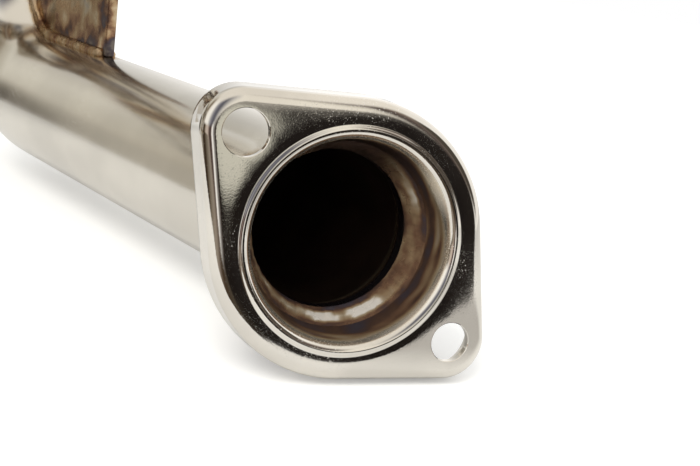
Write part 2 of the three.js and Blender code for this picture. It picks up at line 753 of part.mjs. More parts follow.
// Turns an outline drawn in (y, z) into a plate of the given thickness, centred on the riser's plane.
function uprightPlate(shape, thickness) {
  const geometry = new THREE.ExtrudeGeometry(shape, { depth: thickness, bevelEnabled: false, curveSegments: BRACKET_ARC_STEPS });
  geometry.translate(0, 0, -thickness / 2);
  geometry.applyMatrix4(new THREE.Matrix4().makeBasis(at(0, 1, 0), at(0, 0, 1), at(1, 0, 0)));
  return geometry.translate(riserX, 0, 0);
}

piece("support_bracket", cut(uprightPlate(bracketOutline(), BRACKET_THICK), pipeCutter), tinted);

// Fillet beads down both sides of the bracket's foot.

function bracketBead(side) {
  const lift = BRACKET_BEAD_RISE;
  const footZ = pipeAxisZ + PIPE_RADIUS + lift;
  const sideY = -PIPE_RADIUS - lift;
  const x = riserX + side * (BRACKET_THICK / 2 + lift);
  const route = new TubeRoute([
    at(x, -BRACKET_REACH, footZ),
    at(x, sideY, footZ),
    at(x, sideY, pipeAxisZ + BRACKET_SEAT_TOP),
  ], [PIPE_BEND - PIPE_RADIUS - lift]);
  const span = 2 * (BRACKET_REACH + CUT_OVERRUN);
  const plateTool = new THREE.BoxGeometry(BRACKET_THICK + 2 * WELD_GAP, span, span);
  plateTool.translate(riserX, 0, pipeAxisZ);
  return cut(tube(route, BRACKET_BEAD_RADIUS, 0, BEAD_SIDES), pipeCutter, plateTool);
}

piece("bracket_weld_left", bracketBead(-1), tinted);
piece("bracket_weld_right", bracketBead(1), tinted);

export default manifold;
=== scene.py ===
import math

import bmesh
import bpy
import numpy as np
from mathutils import Matrix, Vector


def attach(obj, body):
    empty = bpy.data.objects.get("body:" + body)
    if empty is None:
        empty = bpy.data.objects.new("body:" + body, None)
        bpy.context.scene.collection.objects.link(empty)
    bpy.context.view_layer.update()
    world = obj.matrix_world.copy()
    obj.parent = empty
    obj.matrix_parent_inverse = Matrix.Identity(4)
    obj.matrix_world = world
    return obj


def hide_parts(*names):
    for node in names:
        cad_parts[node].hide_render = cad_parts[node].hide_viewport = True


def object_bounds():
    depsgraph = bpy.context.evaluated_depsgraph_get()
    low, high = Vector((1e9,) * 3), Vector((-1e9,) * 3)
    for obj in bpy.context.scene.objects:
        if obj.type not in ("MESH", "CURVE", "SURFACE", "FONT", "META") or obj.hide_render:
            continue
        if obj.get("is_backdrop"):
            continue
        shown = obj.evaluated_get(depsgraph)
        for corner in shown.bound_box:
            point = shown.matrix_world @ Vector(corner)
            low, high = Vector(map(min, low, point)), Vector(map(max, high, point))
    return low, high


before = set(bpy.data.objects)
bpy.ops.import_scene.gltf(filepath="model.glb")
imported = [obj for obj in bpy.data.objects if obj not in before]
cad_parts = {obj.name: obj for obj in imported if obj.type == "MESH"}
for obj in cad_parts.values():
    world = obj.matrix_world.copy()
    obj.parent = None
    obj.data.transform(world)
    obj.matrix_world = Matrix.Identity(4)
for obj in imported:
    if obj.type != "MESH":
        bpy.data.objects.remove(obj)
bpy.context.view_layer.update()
scene = bpy.context.scene
scene.view_settings.view_transform = "Standard"


# ---------------------------------------------------------------- table, light and camera
# A white table top that ends close in front of the outlet flange, so the flange's face mirrors the dim
# room beyond it, on a pale floor that metal doesn't mirror. One soft lamp stands at the upper left.

def place_object(name, data):
    """Puts a camera, lamp, curve or mesh into the scene."""
    placed = bpy.data.objects.new(name, data)
    scene.collection.objects.link(placed)
    return placed


# The camera was fitted to the outlet flange and the pipe behind it.
camera = bpy.data.cameras.new("table_camera")
camera.sensor_width = 36.0
camera.lens = 51.43
camera.clip_start = 0.01
camera.clip_end = 30.0
looks_right = Vector((0.7523, -0.6434, 0.1419))
looks_up = Vector((0.0732, 0.2956, 0.9525))
looks_back = Vector((-0.6548, -0.7062, 0.2695))
aim = Matrix((looks_right, looks_up, looks_back)).transposed()
scene.camera = place_object("table_camera", camera)
scene.camera.matrix_world = Matrix.Translation((0.18835, -0.55648, 0.14050)) @ aim.to_4x4()

lamp = bpy.data.lights.new("soft_lamp", "AREA")
lamp.shape = "DISK"
lamp.size = 0.9
lamp.energy = 16.0
lamp.color = (1.0, 0.985, 0.96)
lamp_place = Vector((-0.55, -0.75, 1.25))
lamp_target = Vector((0.36, -0.2, 0.05))
lamp_turn = (lamp_target - lamp_place).to_track_quat("-Z", "Y").to_matrix()
lamp_stand = place_object("soft_lamp", lamp)
lamp_stand.matrix_world = Matrix.Translation(lamp_place) @ lamp_turn.to_4x4()
lamp_stand.visible_glossy = False


def feed(tree, node, inputs):
    """Links a node's inputs to other nodes' outputs, or sets them. A colour is red, green and blue."""
    for key, value in inputs.items():
        socket = node.inputs[key]
        if isinstance(value, bpy.types.NodeSocket):
            tree.links.new(value, socket)
        else:
            socket.default_value = (*value, 1) if socket.type == "RGBA" else value


def add_node(tree, kind, inputs=None, **settings):
    node = tree.nodes.new(kind)
    for key, value in settings.items():
        setattr(node, key, value)
    feed(tree, node, inputs or {})
    return node


def calculate(tree, operation, *values, clamp=False):
    inputs = dict(enumerate(values))
    return add_node(tree, "ShaderNodeMath", inputs, operation=operation, use_clamp=clamp).outputs[0]


def blend_colours(tree, share, first, second):
    return add_node(tree, "ShaderNodeMix", {0: share, 6: first, 7: second}, data_type="RGBA").outputs[2]


def ease(tree, value, low, high, start=0.0, end=1.0):
    """Goes smoothly from start to end as a value goes from low to high."""
    inputs = {"Value": value, "From Min": low, "From Max": high, "To Min": start, "To Max": end}
    return add_node(tree, "ShaderNodeMapRange", inputs, interpolation_type="SMOOTHSTEP").outputs["Result"]


def colour_ramp(tree, value, stops):
    """A colour that follows a value from 0 to 1 through stops of (position, red, green, blue)."""
    node = add_node(tree, "ShaderNodeValToRGB", {"Fac": value})
    spots = node.color_ramp.elements
    spots[0].color = (*stops[0][1:], 1)
    spots[1].color = (*stops[-1][1:], 1)
    for position, *colour in stops[1:-1]:
        spots.new(position).color = (*colour, 1)
    return node.outputs["Color"]


laminate = bpy.data.materials.new("white_laminate")
laminate.use_nodes = True
tree = laminate.node_tree
tree.nodes.clear()
seen = add_node(tree, "ShaderNodeLightPath").outputs
here = add_node(tree, "ShaderNodeTexCoord").outputs["Object"]
# Painted shade: metal mirrors the table's corner beside the flange a little darker.
away = add_node(tree, "ShaderNodeVectorMath", {0: here, 1: (0.468, -0.53, 0.0)}, operation="DISTANCE")
shaded = calculate(tree, "MULTIPLY", ease(tree, away.outputs["Value"], 0.17, 0.09), seen["Is Glossy Ray"])
paint = blend_colours(tree, shaded, (0.84, 0.84, 0.83), (0.50, 0.49, 0.48))
# A faint glow makes the table look overexposed, most of all to the camera.
strength = 0.0
for ray, share in (("Is Camera Ray", 0.25), ("Is Glossy Ray", 0.04), ("Is Transmission Ray", 0.20)):
    strength = calculate(tree, "MULTIPLY_ADD", seen[ray], share, strength)
matte = add_node(tree, "ShaderNodeBsdfDiffuse", {"Color": paint}).outputs[0]
glow = add_node(tree, "ShaderNodeEmission", {"Strength": strength}).outputs[0]
both = add_node(tree, "ShaderNodeAddShader", {0: matte, 1: glow}).outputs[0]
add_node(tree, "ShaderNodeOutputMaterial", {"Surface": both})


def lay_flat(name, outline, z):
    mesh = bpy.data.meshes.new(name)
    mesh.from_pydata([(x, y, z) for x, y in outline], [], [tuple(range(len(outline)))])
    mesh.materials.append(laminate)
    top = place_object(name, mesh)
    top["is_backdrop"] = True
    return top


lay_flat("table_top", [
    (0.318, -0.372), (0.345, -0.412), (0.42, -0.432), (0.448, -0.55), (0.492, -0.70), (0.64, -1.17),
    (1.3, -2.6), (4.0, -2.6), (4.0, 4.0), (0.40, 4.0), (0.40, 0.42), (0.306, 0.175), (0.25, 0.04),
    (0.19, -0.10), (0.167, -0.20), (0.19, -0.325), (0.229, -0.36)], 0.0)
pale_floor = lay_flat("pale_floor", [(-5.0, -5.0), (6.0, -5.0), (6.0, 6.0), (-5.0, 6.0)], -0.0001)
pale_floor.visible_glossy = False

# The room is white to the camera. Metal mirrors it as three bands of colour round the table, each a
# ramp over the compass (degrees from +Y towards +X): past the table's edge, at eye level and overhead.
room = bpy.data.worlds.new("pale_room")
scene.world = room
room.use_nodes = True
tree = room.node_tree
tree.nodes.clear()
direction = add_node(tree, "ShaderNodeTexCoord").outputs["Generated"]
axes = add_node(tree, "ShaderNodeSeparateXYZ", {0: direction}).outputs
compass = calculate(tree, "DIVIDE", calculate(tree, "ARCTAN2", axes["X"], axes["Y"]), 2 * math.pi)
compass = calculate(tree, "FRACT", calculate(tree, "ADD", compass, 1.0))


def compass_band(*stops):
    return colour_ramp(tree, compass, [(degrees / 360, *colour) for degrees, *colour in stops])


past_edge = compass_band(
    (0, 0.57, 0.53, 0.45), (150, 0.80, 0.78, 0.74), (165, 0.05, 0.04, 0.035), (186, 0.03, 0.024, 0.02),
    (195, 0.10, 0.08, 0.06), (214, 0.08, 0.05, 0.03), (224, 0.17, 0.13, 0.10), (236, 0.36, 0.30, 0.25),
    (246, 0.40, 0.34, 0.28), (262, 0.26, 0.22, 0.17), (278, 0.08, 0.055, 0.035), (291, 0.05, 0.03, 0.02),
    (300, 0.28, 0.24, 0.19), (309, 0.57, 0.53, 0.45), (360, 1, 1, 1))
eye_level = compass_band(
    (0, 0.60, 0.55, 0.48), (12, 0.70, 0.68, 0.64), (30, 0.95, 0.94, 0.92), (45, 1.3, 1.29, 1.26),
    (150, 1.3, 1.28, 1.25), (160, 0.03, 0.025, 0.022), (186, 0.016, 0.013, 0.012),
    (194, 0.018, 0.013, 0.010), (198, 0.12, 0.10, 0.09), (201, 0.38, 0.37, 0.36), (204, 0.40, 0.39, 0.38),
    (208, 0.8, 0.79, 0.78), (212, 1.3, 1.28, 1.25), (218, 1.3, 1.27, 1.25), (223, 0.30, 0.26, 0.25),
    (228, 0.10, 0.06, 0.05), (237, 0.10, 0.07, 0.06), (244, 0.38, 0.29, 0.26), (251, 0.75, 0.63, 0.56),
    (261, 0.80, 0.69, 0.60), (269, 0.62, 0.53, 0.46), (277, 0.20, 0.15, 0.10), (284, 0.07, 0.05, 0.03),
    (290, 0.07, 0.05, 0.03), (298, 0.38, 0.32, 0.27), (306, 0.63, 0.57, 0.49), (330, 0.60, 0.57, 0.50),
    (345, 0.57, 0.52, 0.45), (360, 1, 1, 1))
overhead = compass_band(
    (0, 0.68, 0.66, 0.60), (18, 0.74, 0.73, 0.70), (28, 0.90, 0.89, 0.87), (45, 1.3, 1.28, 1.25),
    (136, 1.3, 1.28, 1.24), (148, 0.50, 0.44, 0.40), (158, 0.25, 0.20, 0.17), (168, 0.13, 0.10, 0.09),
    (174, 0.12, 0.10, 0.09), (181, 1.15, 1.10, 1.00), (191, 1.20, 1.15, 1.05), (199, 0.85, 0.83, 0.80),
    (207, 0.55, 0.54, 0.54), (216, 0.25, 0.25, 0.28), (224, 0.15, 0.15, 0.19), (236, 0.28, 0.28, 0.33),
    (246, 0.52, 0.52, 0.55), (254, 0.90, 0.89, 0.88), (264, 1.35, 1.33, 1.29), (284, 1.35, 1.32, 1.26),
    (293, 1.05, 1.0, 0.93), (300, 0.70, 0.64, 0.57), (308, 0.29, 0.24, 0.18), (318, 0.36, 0.30, 0.22),
    (327, 0.70, 0.66, 0.57), (335, 0.74, 0.71, 0.63), (341, 0.90, 0.87, 0.79), (350, 0.76, 0.73, 0.66),
    (360, 1, 1, 1))
# Each band gives way to the next between two heights, in degrees above the level.
mirrored = past_edge
for low, high, band in ((-9.0, -6.8, eye_level), (3.0, 9.5, overhead), (38.0, 60.0, (1.1, 1.05, 0.97))):
    share = ease(tree, axes["Z"], math.sin(math.radians(low)), math.sin(math.radians(high)))
    mirrored = blend_colours(tree, share, mirrored, band)
# Three soft round patches lie on them: compass and height, angles of core and rim, colour.
for azimuth, elevation, core, edge, colour in (
        (141.0, 20.0, 14.0, 21.0, (0.10, 0.085, 0.07)),
        (189.6, 1.7, 2.3, 3.9, (0.87, 0.86, 0.76)),
        (342.0, -3.5, 6.0, 10.5, (0.03, 0.02, 0.012))):
    turn, lift = math.radians(azimuth), math.radians(elevation)
    towards = (math.sin(turn) * math.cos(lift), math.cos(turn) * math.cos(lift), math.sin(lift))
    facing = add_node(tree, "ShaderNodeVectorMath", {0: direction, 1: towards}, operation="DOT_PRODUCT")
    share = ease(tree, facing.outputs["Value"], math.cos(math.radians(edge)), math.cos(math.radians(core)))
    mirrored = blend_colours(tree, share, mirrored, colour)
seen = add_node(tree, "ShaderNodeLightPath").outputs
shown = blend_colours(tree, seen["Is Glossy Ray"], (0.95, 0.95, 0.94), mirrored)
for ray in ("Is Transmission Ray", "Is Camera Ray"):
    shown = blend_colours(tree, seen[ray], shown, (1, 1, 1))
sky = add_node(tree, "ShaderNodeBackground", {"Color": shown}).outputs[0]
add_node(tree, "ShaderNodeOutputWorld", {"Surface": sky})


# ---------------------------------------------------------------- head flange
# A 10 mm stainless plate, laser-cut with a pad round each port and an ear round each stud hole, its
# edges broken and its faces ground, so fine lines run along it and the port welds leave a tint.

port_row = [-0.138, -0.046, 0.046, 0.138]
port_bore = 0.0216
port_pad = 0.032
plate_thick = 0.010
web_half = 0.021
stud_holes = [(0.037, y) for y in (-0.179, -0.092, 0.0, 0.092, 0.179)] + [(-0.037, y) for y in port_row]
stud_bore = 0.0045
stud_ear = 0.012


def noise(tree, place, scale, detail):
    inputs = {"Vector": place, "Scale": scale, "Detail": detail}
    return add_node(tree, "ShaderNodeTexNoise", inputs).outputs["Fac"]


def steel(name, tone, gloss, cloud, lines, relief, specks, speck_size=1700.0, waves=0.0, tint=True,
          dark_bore=False, patchy=0.3, dull=(0.4, 1.0, 0.14), matte=0.0, bare=0.0):
    """A worked metal: cloudy polish, fine directed lines, specks, weld tint and a bore darkened near black.

    The tint, the bore's darkening and the least scatter follow the piece's weld_heat, bore and
    painted_highlight attributes.
    gloss is the range of roughness, cloud and lines the fineness of the polish, and patchy how far the
    tint breaks up. dull is how the tint roughens the metal, matte how far it scatters light, and bare how
    far clean metal does."""
    material = bpy.data.materials.new(name)
    material.use_nodes = True
    tree = material.node_tree
    place = add_node(tree, "ShaderNodeTexCoord").outputs["Object"]
    stretched = add_node(tree, "ShaderNodeMapping", {"Vector": place, "Scale": lines}).outputs[0]

    def attribute(kept):
        return add_node(tree, "ShaderNodeAttribute", attribute_name=kept).outputs["Fac"]

    # The polish: slow clouds, fine strokes along it, and specks where the clouds are dense.
    haze = noise(tree, place, scale=cloud, detail=5.0)
    strokes = noise(tree, stretched, scale=1.0, detail=4.0)
    speck = ease(tree, noise(tree, place, scale=speck_size, detail=2.0), 0.60, 0.74)
    speck = calculate(tree, "MULTIPLY", speck, ease(tree, haze, 0.40, 0.64))
    hairline = calculate(tree, "MULTIPLY", ease(tree, strokes, 0.60, 0.72), 0.12 * specks)
    rough = calculate(tree, "ADD", ease(tree, haze, 0.35, 0.68, *gloss), hairline)
    rough = calculate(tree, "MULTIPLY_ADD", speck, 0.4 * specks, rough, clamp=True)
    colour = blend_colours(tree, ease(tree, haze, 0.38, 0.62), [0.88 * part for part in tone], tone)
    colour = blend_colours(tree, calculate(tree, "MULTIPLY", speck, 0.6 * specks), colour, (0.80, 0.78, 0.74))
    scatter = 0.0
    if tint:
        # Straw, brown and blue oxide as the weld's heat rises, broken up by the clouds.
        wander = calculate(tree, "MULTIPLY_ADD", haze, 2 * patchy, 1 - patchy)
        warmth = calculate(tree, "MULTIPLY", attribute("weld_heat"), wander, clamp=True)
        oxide = colour_ramp(tree, warmth, (
            (0.00, 0.66, 0.60, 0.50), (0.20, 0.57, 0.47, 0.33), (0.40, 0.41, 0.28, 0.16),
            (0.56, 0.24, 0.135, 0.08), (0.70, 0.12, 0.07, 0.05), (0.80, 0.085, 0.07, 0.085),
            (0.90, 0.12, 0.10, 0.10), (1.00, 0.22, 0.19, 0.17)))
        colour = blend_colours(tree, ease(tree, warmth, 0.02, 0.25), colour, oxide)
        rough = calculate(tree, "MULTIPLY_ADD", ease(tree, warmth, *dull[:2]), dull[2], rough, clamp=True)
        scatter = ease(tree, warmth, 0.03, 0.3, bare, matte)
        scatter = calculate(tree, "MULTIPLY_ADD", speck, 0.3 * specks, scatter, clamp=True)
        # A painted highlight: where a piece asks for it, the metal scatters more light.
        scatter = calculate(tree, "MAXIMUM", scatter, attribute("painted_highlight"))
    if dark_bore:
        # The bore attribute darkens the gas side near black over tint and polish; at the top of a socket it
        # carries painted shade.
        bore = attribute("bore")
        bore_black = ease(tree, haze, 0.35, 0.65)
        bore_black = blend_colours(tree, bore_black, (0.012, 0.008, 0.006), (0.055, 0.032, 0.022))
        colour = blend_colours(tree, bore, colour, bore_black)
        scatter = calculate(tree, "MAXIMUM", scatter, calculate(tree, "MULTIPLY", bore, 0.3))
        rough = calculate(tree, "MAXIMUM", rough, calculate(tree, "MULTIPLY", bore, 0.42))
    # Relief of the strokes, the specks and, where asked for, slow waves.
    swell = calculate(tree, "MULTIPLY_ADD", strokes, 0.35, calculate(tree, "MULTIPLY", speck, 0.5 * specks))
    swell = calculate(tree, "MULTIPLY_ADD", haze, waves, swell)
    bump = add_node(tree, "ShaderNodeBump", {"Strength": relief, "Distance": 0.00025, "Height": swell})
    feed(tree, tree.nodes["Principled BSDF"], {
        "Metallic": calculate(tree, "SUBTRACT", 1.0, scatter) if tint or dark_bore else 1.0,
        "Base Color": colour, "Roughness": rough, "Normal": bump.outputs[0]})
    return material


def store(mesh, name, values):
    """Keeps one number for each corner of a mesh."""
    layer = mesh.attributes.get(name) or mesh.attributes.new(name, "FLOAT", "POINT")
    layer.data.foreach_set("value", (np.ones(len(mesh.vertices)) * values).astype(np.float32))


def store_share(mesh, name, values):
    """Keeps one number from 0 to 1 for each corner of a mesh."""
    store(mesh, name, np.clip(np.asarray(values, float), 0, 1))


def corners_of(mesh):
    places = np.zeros(len(mesh.vertices) * 3)
    mesh.vertices.foreach_get("co", places)
    return places.reshape(-1, 3)


def distance_to(places, sources):
    """Distance from each place to the nearest of the sources."""
    sources = np.asarray(sources, float)
    return np.min([np.linalg.norm(places - source, axis=1) for source in sources], axis=0)


def fade(distance, length):
    """1 as far as a distance of 0, then dying away over a length."""
    return np.exp(-np.maximum(distance, 0) / length)


def smooth(mesh, sharp=35.0):
    mesh.polygons.foreach_set("use_smooth", np.ones(len(mesh.polygons), bool))
    mesh.set_sharp_from_angle(angle=math.radians(sharp))


def face_outwards(mesh, merge=0.0):
    """Merges corners closer than a distance, if one is given, and turns every face outwards."""
    shell = bmesh.new()
    shell.from_mesh(mesh)
    if merge:
        bmesh.ops.remove_doubles(shell, verts=shell.verts, dist=merge)
    bmesh.ops.recalc_face_normals(shell, faces=shell.faces)
    shell.to_mesh(mesh)
    shell.free()


def fit_piece(mesh, material, node):
    """Puts a finished mesh in the place of its CAD node; None keeps the mesh's own material."""
    if material is not None:
        mesh.materials.clear()
        mesh.materials.append(material)
    piece = place_object(mesh.name, mesh)
    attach(piece, "root")
    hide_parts(node)


def evaluated_mesh(piece, name):
    """The piece with its modifiers applied, as a plain mesh; the piece itself is removed."""
    graph = bpy.context.evaluated_depsgraph_get()
    mesh = bpy.data.meshes.new_from_object(piece.evaluated_get(graph))
    mesh.name = name
    bpy.data.objects.remove(piece)
    return mesh


def cut_plate(name, loops, thick, edge):
    """A flat plate from closed outlines in its own XY plane, edges broken, middle at z = 0."""
    outline = bpy.data.curves.new(name, "CURVE")
    outline.dimensions = "2D"
    outline.fill_mode = "BOTH"
    outline.extrude = thick / 2 - edge
    outline.bevel_depth = edge
    outline.bevel_resolution = 3
    outline.offset = -edge
    for loop in loops:
        spline = outline.splines.new("POLY")
        spline.points.add(len(loop) - 1)
        spline.points.foreach_set("co", np.array([(x, y, 0, 1) for x, y in loop]).ravel())
        spline.use_cyclic_u = True
    mesh = evaluated_mesh(place_object(name, outline), name)
    face_outwards(mesh, merge=1e-6)
    return mesh


def whole_turn(steps):
    return np.linspace(0, 2 * np.pi, steps, endpoint=False)


def circle(radius, steps, x, y):
    turns = whole_turn(steps)
    return np.stack([x + radius * np.cos(turns), y + radius * np.sin(turns)], 1)


def plate_reach(x, y):
    """Signed distance to the head flange's outline, negative inside, with a fillet in each corner."""
    def bar(ax, ay, bx, by, radius):
        share = ((x - ax) * (bx - ax) + (y - ay) * (by - ay)) / ((bx - ax) ** 2 + (by - ay) ** 2)
        share = np.clip(share, 0, 1)
        return np.hypot(x - ax - share * (bx - ax), y - ay - share * (by - ay)) - radius

    row_end = port_row[-1]
    pads = [np.hypot(x, y - port) - port_pad for port in port_row]
    ears = [bar(0, np.clip(sy, -row_end, row_end), sx, sy, stud_ear) for sx, sy in stud_holes]
    reach = bar(0, -row_end, 0, row_end, web_half)
    corner_reach, corner_fill = 0.006, 0.0015
    for shape in pads + ears:
        fillet = np.maximum(corner_reach - np.abs(reach - shape), 0) / corner_reach
        reach = np.minimum(reach, shape) - fillet ** 2 * corner_fill
    return reach


def trace_outline(reach, start_x, step):
    """Follows the zero line of a signed distance once round, from the point furthest along +X."""
    nudge = 1e-5

    def outward(point):
        x, y = point
        slope = np.array([reach(x + nudge, y) - reach(x - nudge, y), reach(x, y + nudge) - reach(x, y - nudge)])
        return slope / np.linalg.norm(slope)

    point = np.array([start_x, 0.0])
    for _ in range(60):
        point[0] -= reach(*point)
    points = [point]
    for _ in range(4000):
        slope = outward(point)
        point = point + step * np.array([-slope[1], slope[0]])
        for _ in range(3):
            point = point - reach(*point) * outward(point)
        if len(points) > 20 and np.linalg.norm(point - points[0]) < step * 0.9:
            break
        points.append(point)
    return np.array(points)


plate_loops = [trace_outline(plate_reach, start_x=0.06, step=0.0012)]
plate_loops += [circle(port_bore, 72, 0, y) for y in port_row]
plate_loops += [circle(stud_bore, 28, x, y) for x, y in stud_holes]
head_plate = cut_plate("head_flange_plate", plate_loops, plate_thick, edge=0.0007)
head_plate.transform(Matrix.Translation((0, 0, plate_thick / 2)))
smooth(head_plate)
port_gap = distance_to(corners_of(head_plate)[:, :2], [(0, y) for y in port_row]) - port_bore
store_share(head_plate, "weld_heat", 0.75 * fade(port_gap - 0.004, 0.006))
ground_steel = steel("ground_stainless_plate", (0.60, 0.57, 0.52), gloss=(0.16, 0.30), cloud=14.0,
                     lines=(900.0, 25.0, 900.0), relief=0.35, specks=0.25)
fit_piece(head_plate, ground_steel, "head_flange")


# ---------------------------------------------------------------- runners
# Four 42.4 x 1.5 mm stainless tubes, mandrel-bent and mirror-polished. Each stands in its port, turns
# over and runs into the bundle: outer ports into the upper lanes, inner ports into the lower ones.

runner_radius = 0.0212
runner_wall = 0.0015
runner_bend = 0.064
runner_foot_z = 0.0015
runner_end_x = 0.209
lane = 0.02135
lane_start_x = 0.140
collector_z = 0.191


def bent_line(corners, bend, spacing=0.006):
    """A tube's centre line: straight runs between corners and a round bend at each inner corner."""
    corners = [Vector(corner) for corner in corners]
    points = [corners[0]]

    def run_to(end):
        gap = end - points[-1]
        steps = max(1, round(gap.length / spacing))
        start = points[-1].copy()
        points.extend(start + gap * (k + 1) / steps for k in range(steps))

    for before, corner, after in zip(corners, corners[1:], corners[2:]):
        along = (corner - before).normalized()
        onward = (after - corner).normalized()
        angle = along.angle(onward)
        start = corner - along * bend * math.tan(angle / 2)
        inward = (onward - along * onward.dot(along)).normalized()
        run_to(start)
        steps = max(4, math.ceil(math.degrees(angle) / 3))
        for k in range(1, steps + 1):
            turn = angle * k / steps
            points.append(start + along * bend * math.sin(turn) + inward * bend * (1 - math.cos(turn)))
    run_to(corners[-1])
    return points


def start_tree(name, inputs, output):
    """A new geometry tree, and the sockets that bring its named inputs in."""
    tree = bpy.data.node_groups.new(name, "GeometryNodeTree")
    for label, kind in inputs.items():
        tree.interface.new_socket(label, in_out="INPUT", socket_type="NodeSocket" + kind)
    tree.interface.new_socket(output, in_out="OUTPUT", socket_type="NodeSocketGeometry")
    return tree, add_node(tree, "NodeGroupInput").outputs


def end_tree(tree, geometry, metal):
    """The last steps of a tree: smooth shading, real geometry and its material."""
    shade = add_node(tree, "GeometryNodeSetShadeSmooth", {0: geometry})
    real = add_node(tree, "GeometryNodeRealizeInstances", {0: shade.outputs[0]})
    finish = add_node(tree, "GeometryNodeSetMaterial", {"Geometry": real.outputs[0], "Material": metal})
    add_node(tree, "NodeGroupOutput", {0: finish.outputs[0]})
    return tree


def stored(tree, name):
    """A number that a mesh in a geometry tree keeps for each corner."""
    kept = add_node(tree, "GeometryNodeInputNamedAttribute", {"Name": name}, data_type="FLOAT")
    return kept.outputs["Attribute"]


def apply_tree(piece, tree, **inputs):
    """Runs a geometry tree on a piece, its inputs set by name, and returns the plain mesh."""
    modifier = piece.modifiers.new(tree.name, "NODES")
    modifier.node_group = tree
    for item in tree.interface.items_tree:
        if item.in_out == "INPUT" and item.name in inputs:
            modifier[item.identifier] = inputs[item.name]
    return evaluated_mesh(piece, piece.name)


# Sweeps a round tube along a centre line; the line's width attribute scales the radius at each point.
tree, given = start_tree("bent_tube", {"Centre line": "Geometry", "Radius": "Float", "Sides": "Int",
                                       "Steel": "Material"}, "Tube")
curve = add_node(tree, "GeometryNodeMeshToCurve", {"Mesh": given["Centre line"]}).outputs["Curve"]
ring = add_node(tree, "GeometryNodeCurvePrimitiveCircle", {
    "Resolution": given["Sides"], "Radius": given["Radius"]}).outputs["Curve"]
sweep = add_node(tree, "GeometryNodeCurveToMesh", {
    "Curve": curve, "Profile Curve": ring, "Scale": stored(tree, "width")}).outputs[0]
bent_tube = end_tree(tree, sweep, given["Steel"])


def drawn_tube(name, line, radius, wall, sides, metal, widths=1.0):
    """A hollow tube along a centre line. Its bore attribute is 1 on the inner wall."""
    centre = np.array(line)
    path = bpy.data.meshes.new(name)
    path.from_pydata(centre.tolist(), [(k, k + 1) for k in range(len(line) - 1)], [])
    store(path, "width", widths)
    mesh = apply_tree(place_object(name, path), bent_tube, Radius=radius, Sides=sides, Steel=metal)
    face = mesh.polygons[0]
    nearest = centre[np.argmin(np.linalg.norm(centre - np.array(face.center), axis=1))]
    if (face.center - Vector(nearest)).dot(face.normal) < 0:
        mesh.flip_normals()
    outer_count = len(mesh.vertices)
    skin = place_object(name, mesh)
    shell = skin.modifiers.new("wall", "SOLIDIFY")
    shell.thickness = wall
    shell.offset = -1.0
    mesh = evaluated_mesh(skin, name)
    store_share(mesh, "bore", np.arange(len(mesh.vertices)) >= outer_count)
    smooth(mesh)
    return mesh


mirror_tube = steel("mirror_polished_tube", (0.70, 0.665, 0.60), gloss=(0.15, 0.21), cloud=18.0,
                    lines=(900.0, 70.0, 900.0), relief=0.06, specks=0.35, waves=2.0, dark_bore=True)

for number, y in enumerate(port_row, 1):
    outer = number in (1, 4)
    lane_y, lane_z = math.copysign(lane, y), collector_z + (lane if outer else -lane)
    line = bent_line([(0, y, runner_foot_z), (0, y, lane_z), (lane_start_x, lane_y, lane_z),
                      (runner_end_x, lane_y, lane_z)], runner_bend, spacing=0.003)
    runner = drawn_tube(f"runner_{number}_tube", line, runner_radius, runner_wall, sides=56, metal=mirror_tube)
    places = corners_of(runner)
    # Tint above the port weld and towards the collector.
    warmth = 0.95 * fade(places[:, 2] - 0.015, 0.009)
    warmth += 0.9 * fade(0.180 - places[:, 0], 0.010) * (places[:, 2] > 0.1)
    store_share(runner, "weld_heat", warmth)
    fit_piece(runner, mirror_tube, f"runner_{number}")


# ---------------------------------------------------------------- port welds
# A fillet bead of stainless filler round each runner on the head flange, laid by hand as a row of
# overlapping ripples, silver on the crown and straw to brown at its toes.

# Raises the crown of a bead into overlapping ripples that bow back along the seam.
bow = 0.6
tree, given = start_tree("weld_ripples", {
    "Bead": "Geometry", "Pitch": "Float", "Depth": "Float", "Unevenness": "Float", "Filler": "Material"},
    "Rippled")
lag = calculate(tree, "MULTIPLY", calculate(tree, "POWER", stored(tree, "across"), 2.0), bow)
phase = calculate(tree, "ADD", calculate(tree, "DIVIDE", stored(tree, "along"), given["Pitch"]), lag)
saw = calculate(tree, "POWER", calculate(tree, "FRACT", phase), 0.7)
ripple = calculate(tree, "POWER", calculate(tree, "SINE", calculate(tree, "MULTIPLY", saw, math.pi)), 0.6)
lumps = noise(tree, add_node(tree, "GeometryNodeInputPosition").outputs[0], scale=260.0, detail=2.0)
uneven = calculate(tree, "MULTIPLY", calculate(tree, "SUBTRACT", lumps, 0.5), given["Unevenness"])
lift = calculate(tree, "MULTIPLY_ADD", calculate(tree, "SUBTRACT", ripple, 0.6), given["Depth"], uneven)
lift = calculate(tree, "MULTIPLY", lift, stored(tree, "crown"))
normal = add_node(tree, "GeometryNodeInputNormal").outputs[0]
push = add_node(tree, "ShaderNodeVectorMath", {0: normal, "Scale": lift}, operation="SCALE").outputs[0]
move = add_node(tree, "GeometryNodeSetPosition", {"Geometry": given["Bead"], "Offset": push}).outputs[0]
weld_ripples = end_tree(tree, move, given["Filler"])


def loft(name, rings, looped=False, capped=False):
    """A skin over rings of points. looped joins the last ring to the first; capped closes both ends."""
    count, sides, _ = rings.shape
    i = np.arange(count if looped else count - 1)[:, None]
    j = np.arange(sides)[None, :]
    after, beside = (i + 1) % count, (j + 1) % sides
    faces = np.stack([i * sides + j, i * sides + beside, after * sides + beside, after * sides + j], -1)
    faces = faces.reshape(-1, 4).tolist()
    if capped:
        faces += [list(range(sides)), list(range((count - 1) * sides, count * sides))]
    mesh = bpy.data.meshes.new(name)
    mesh.from_pydata(rings.reshape(-1, 3).tolist(), [], faces)
    face_outwards(mesh)
    return mesh


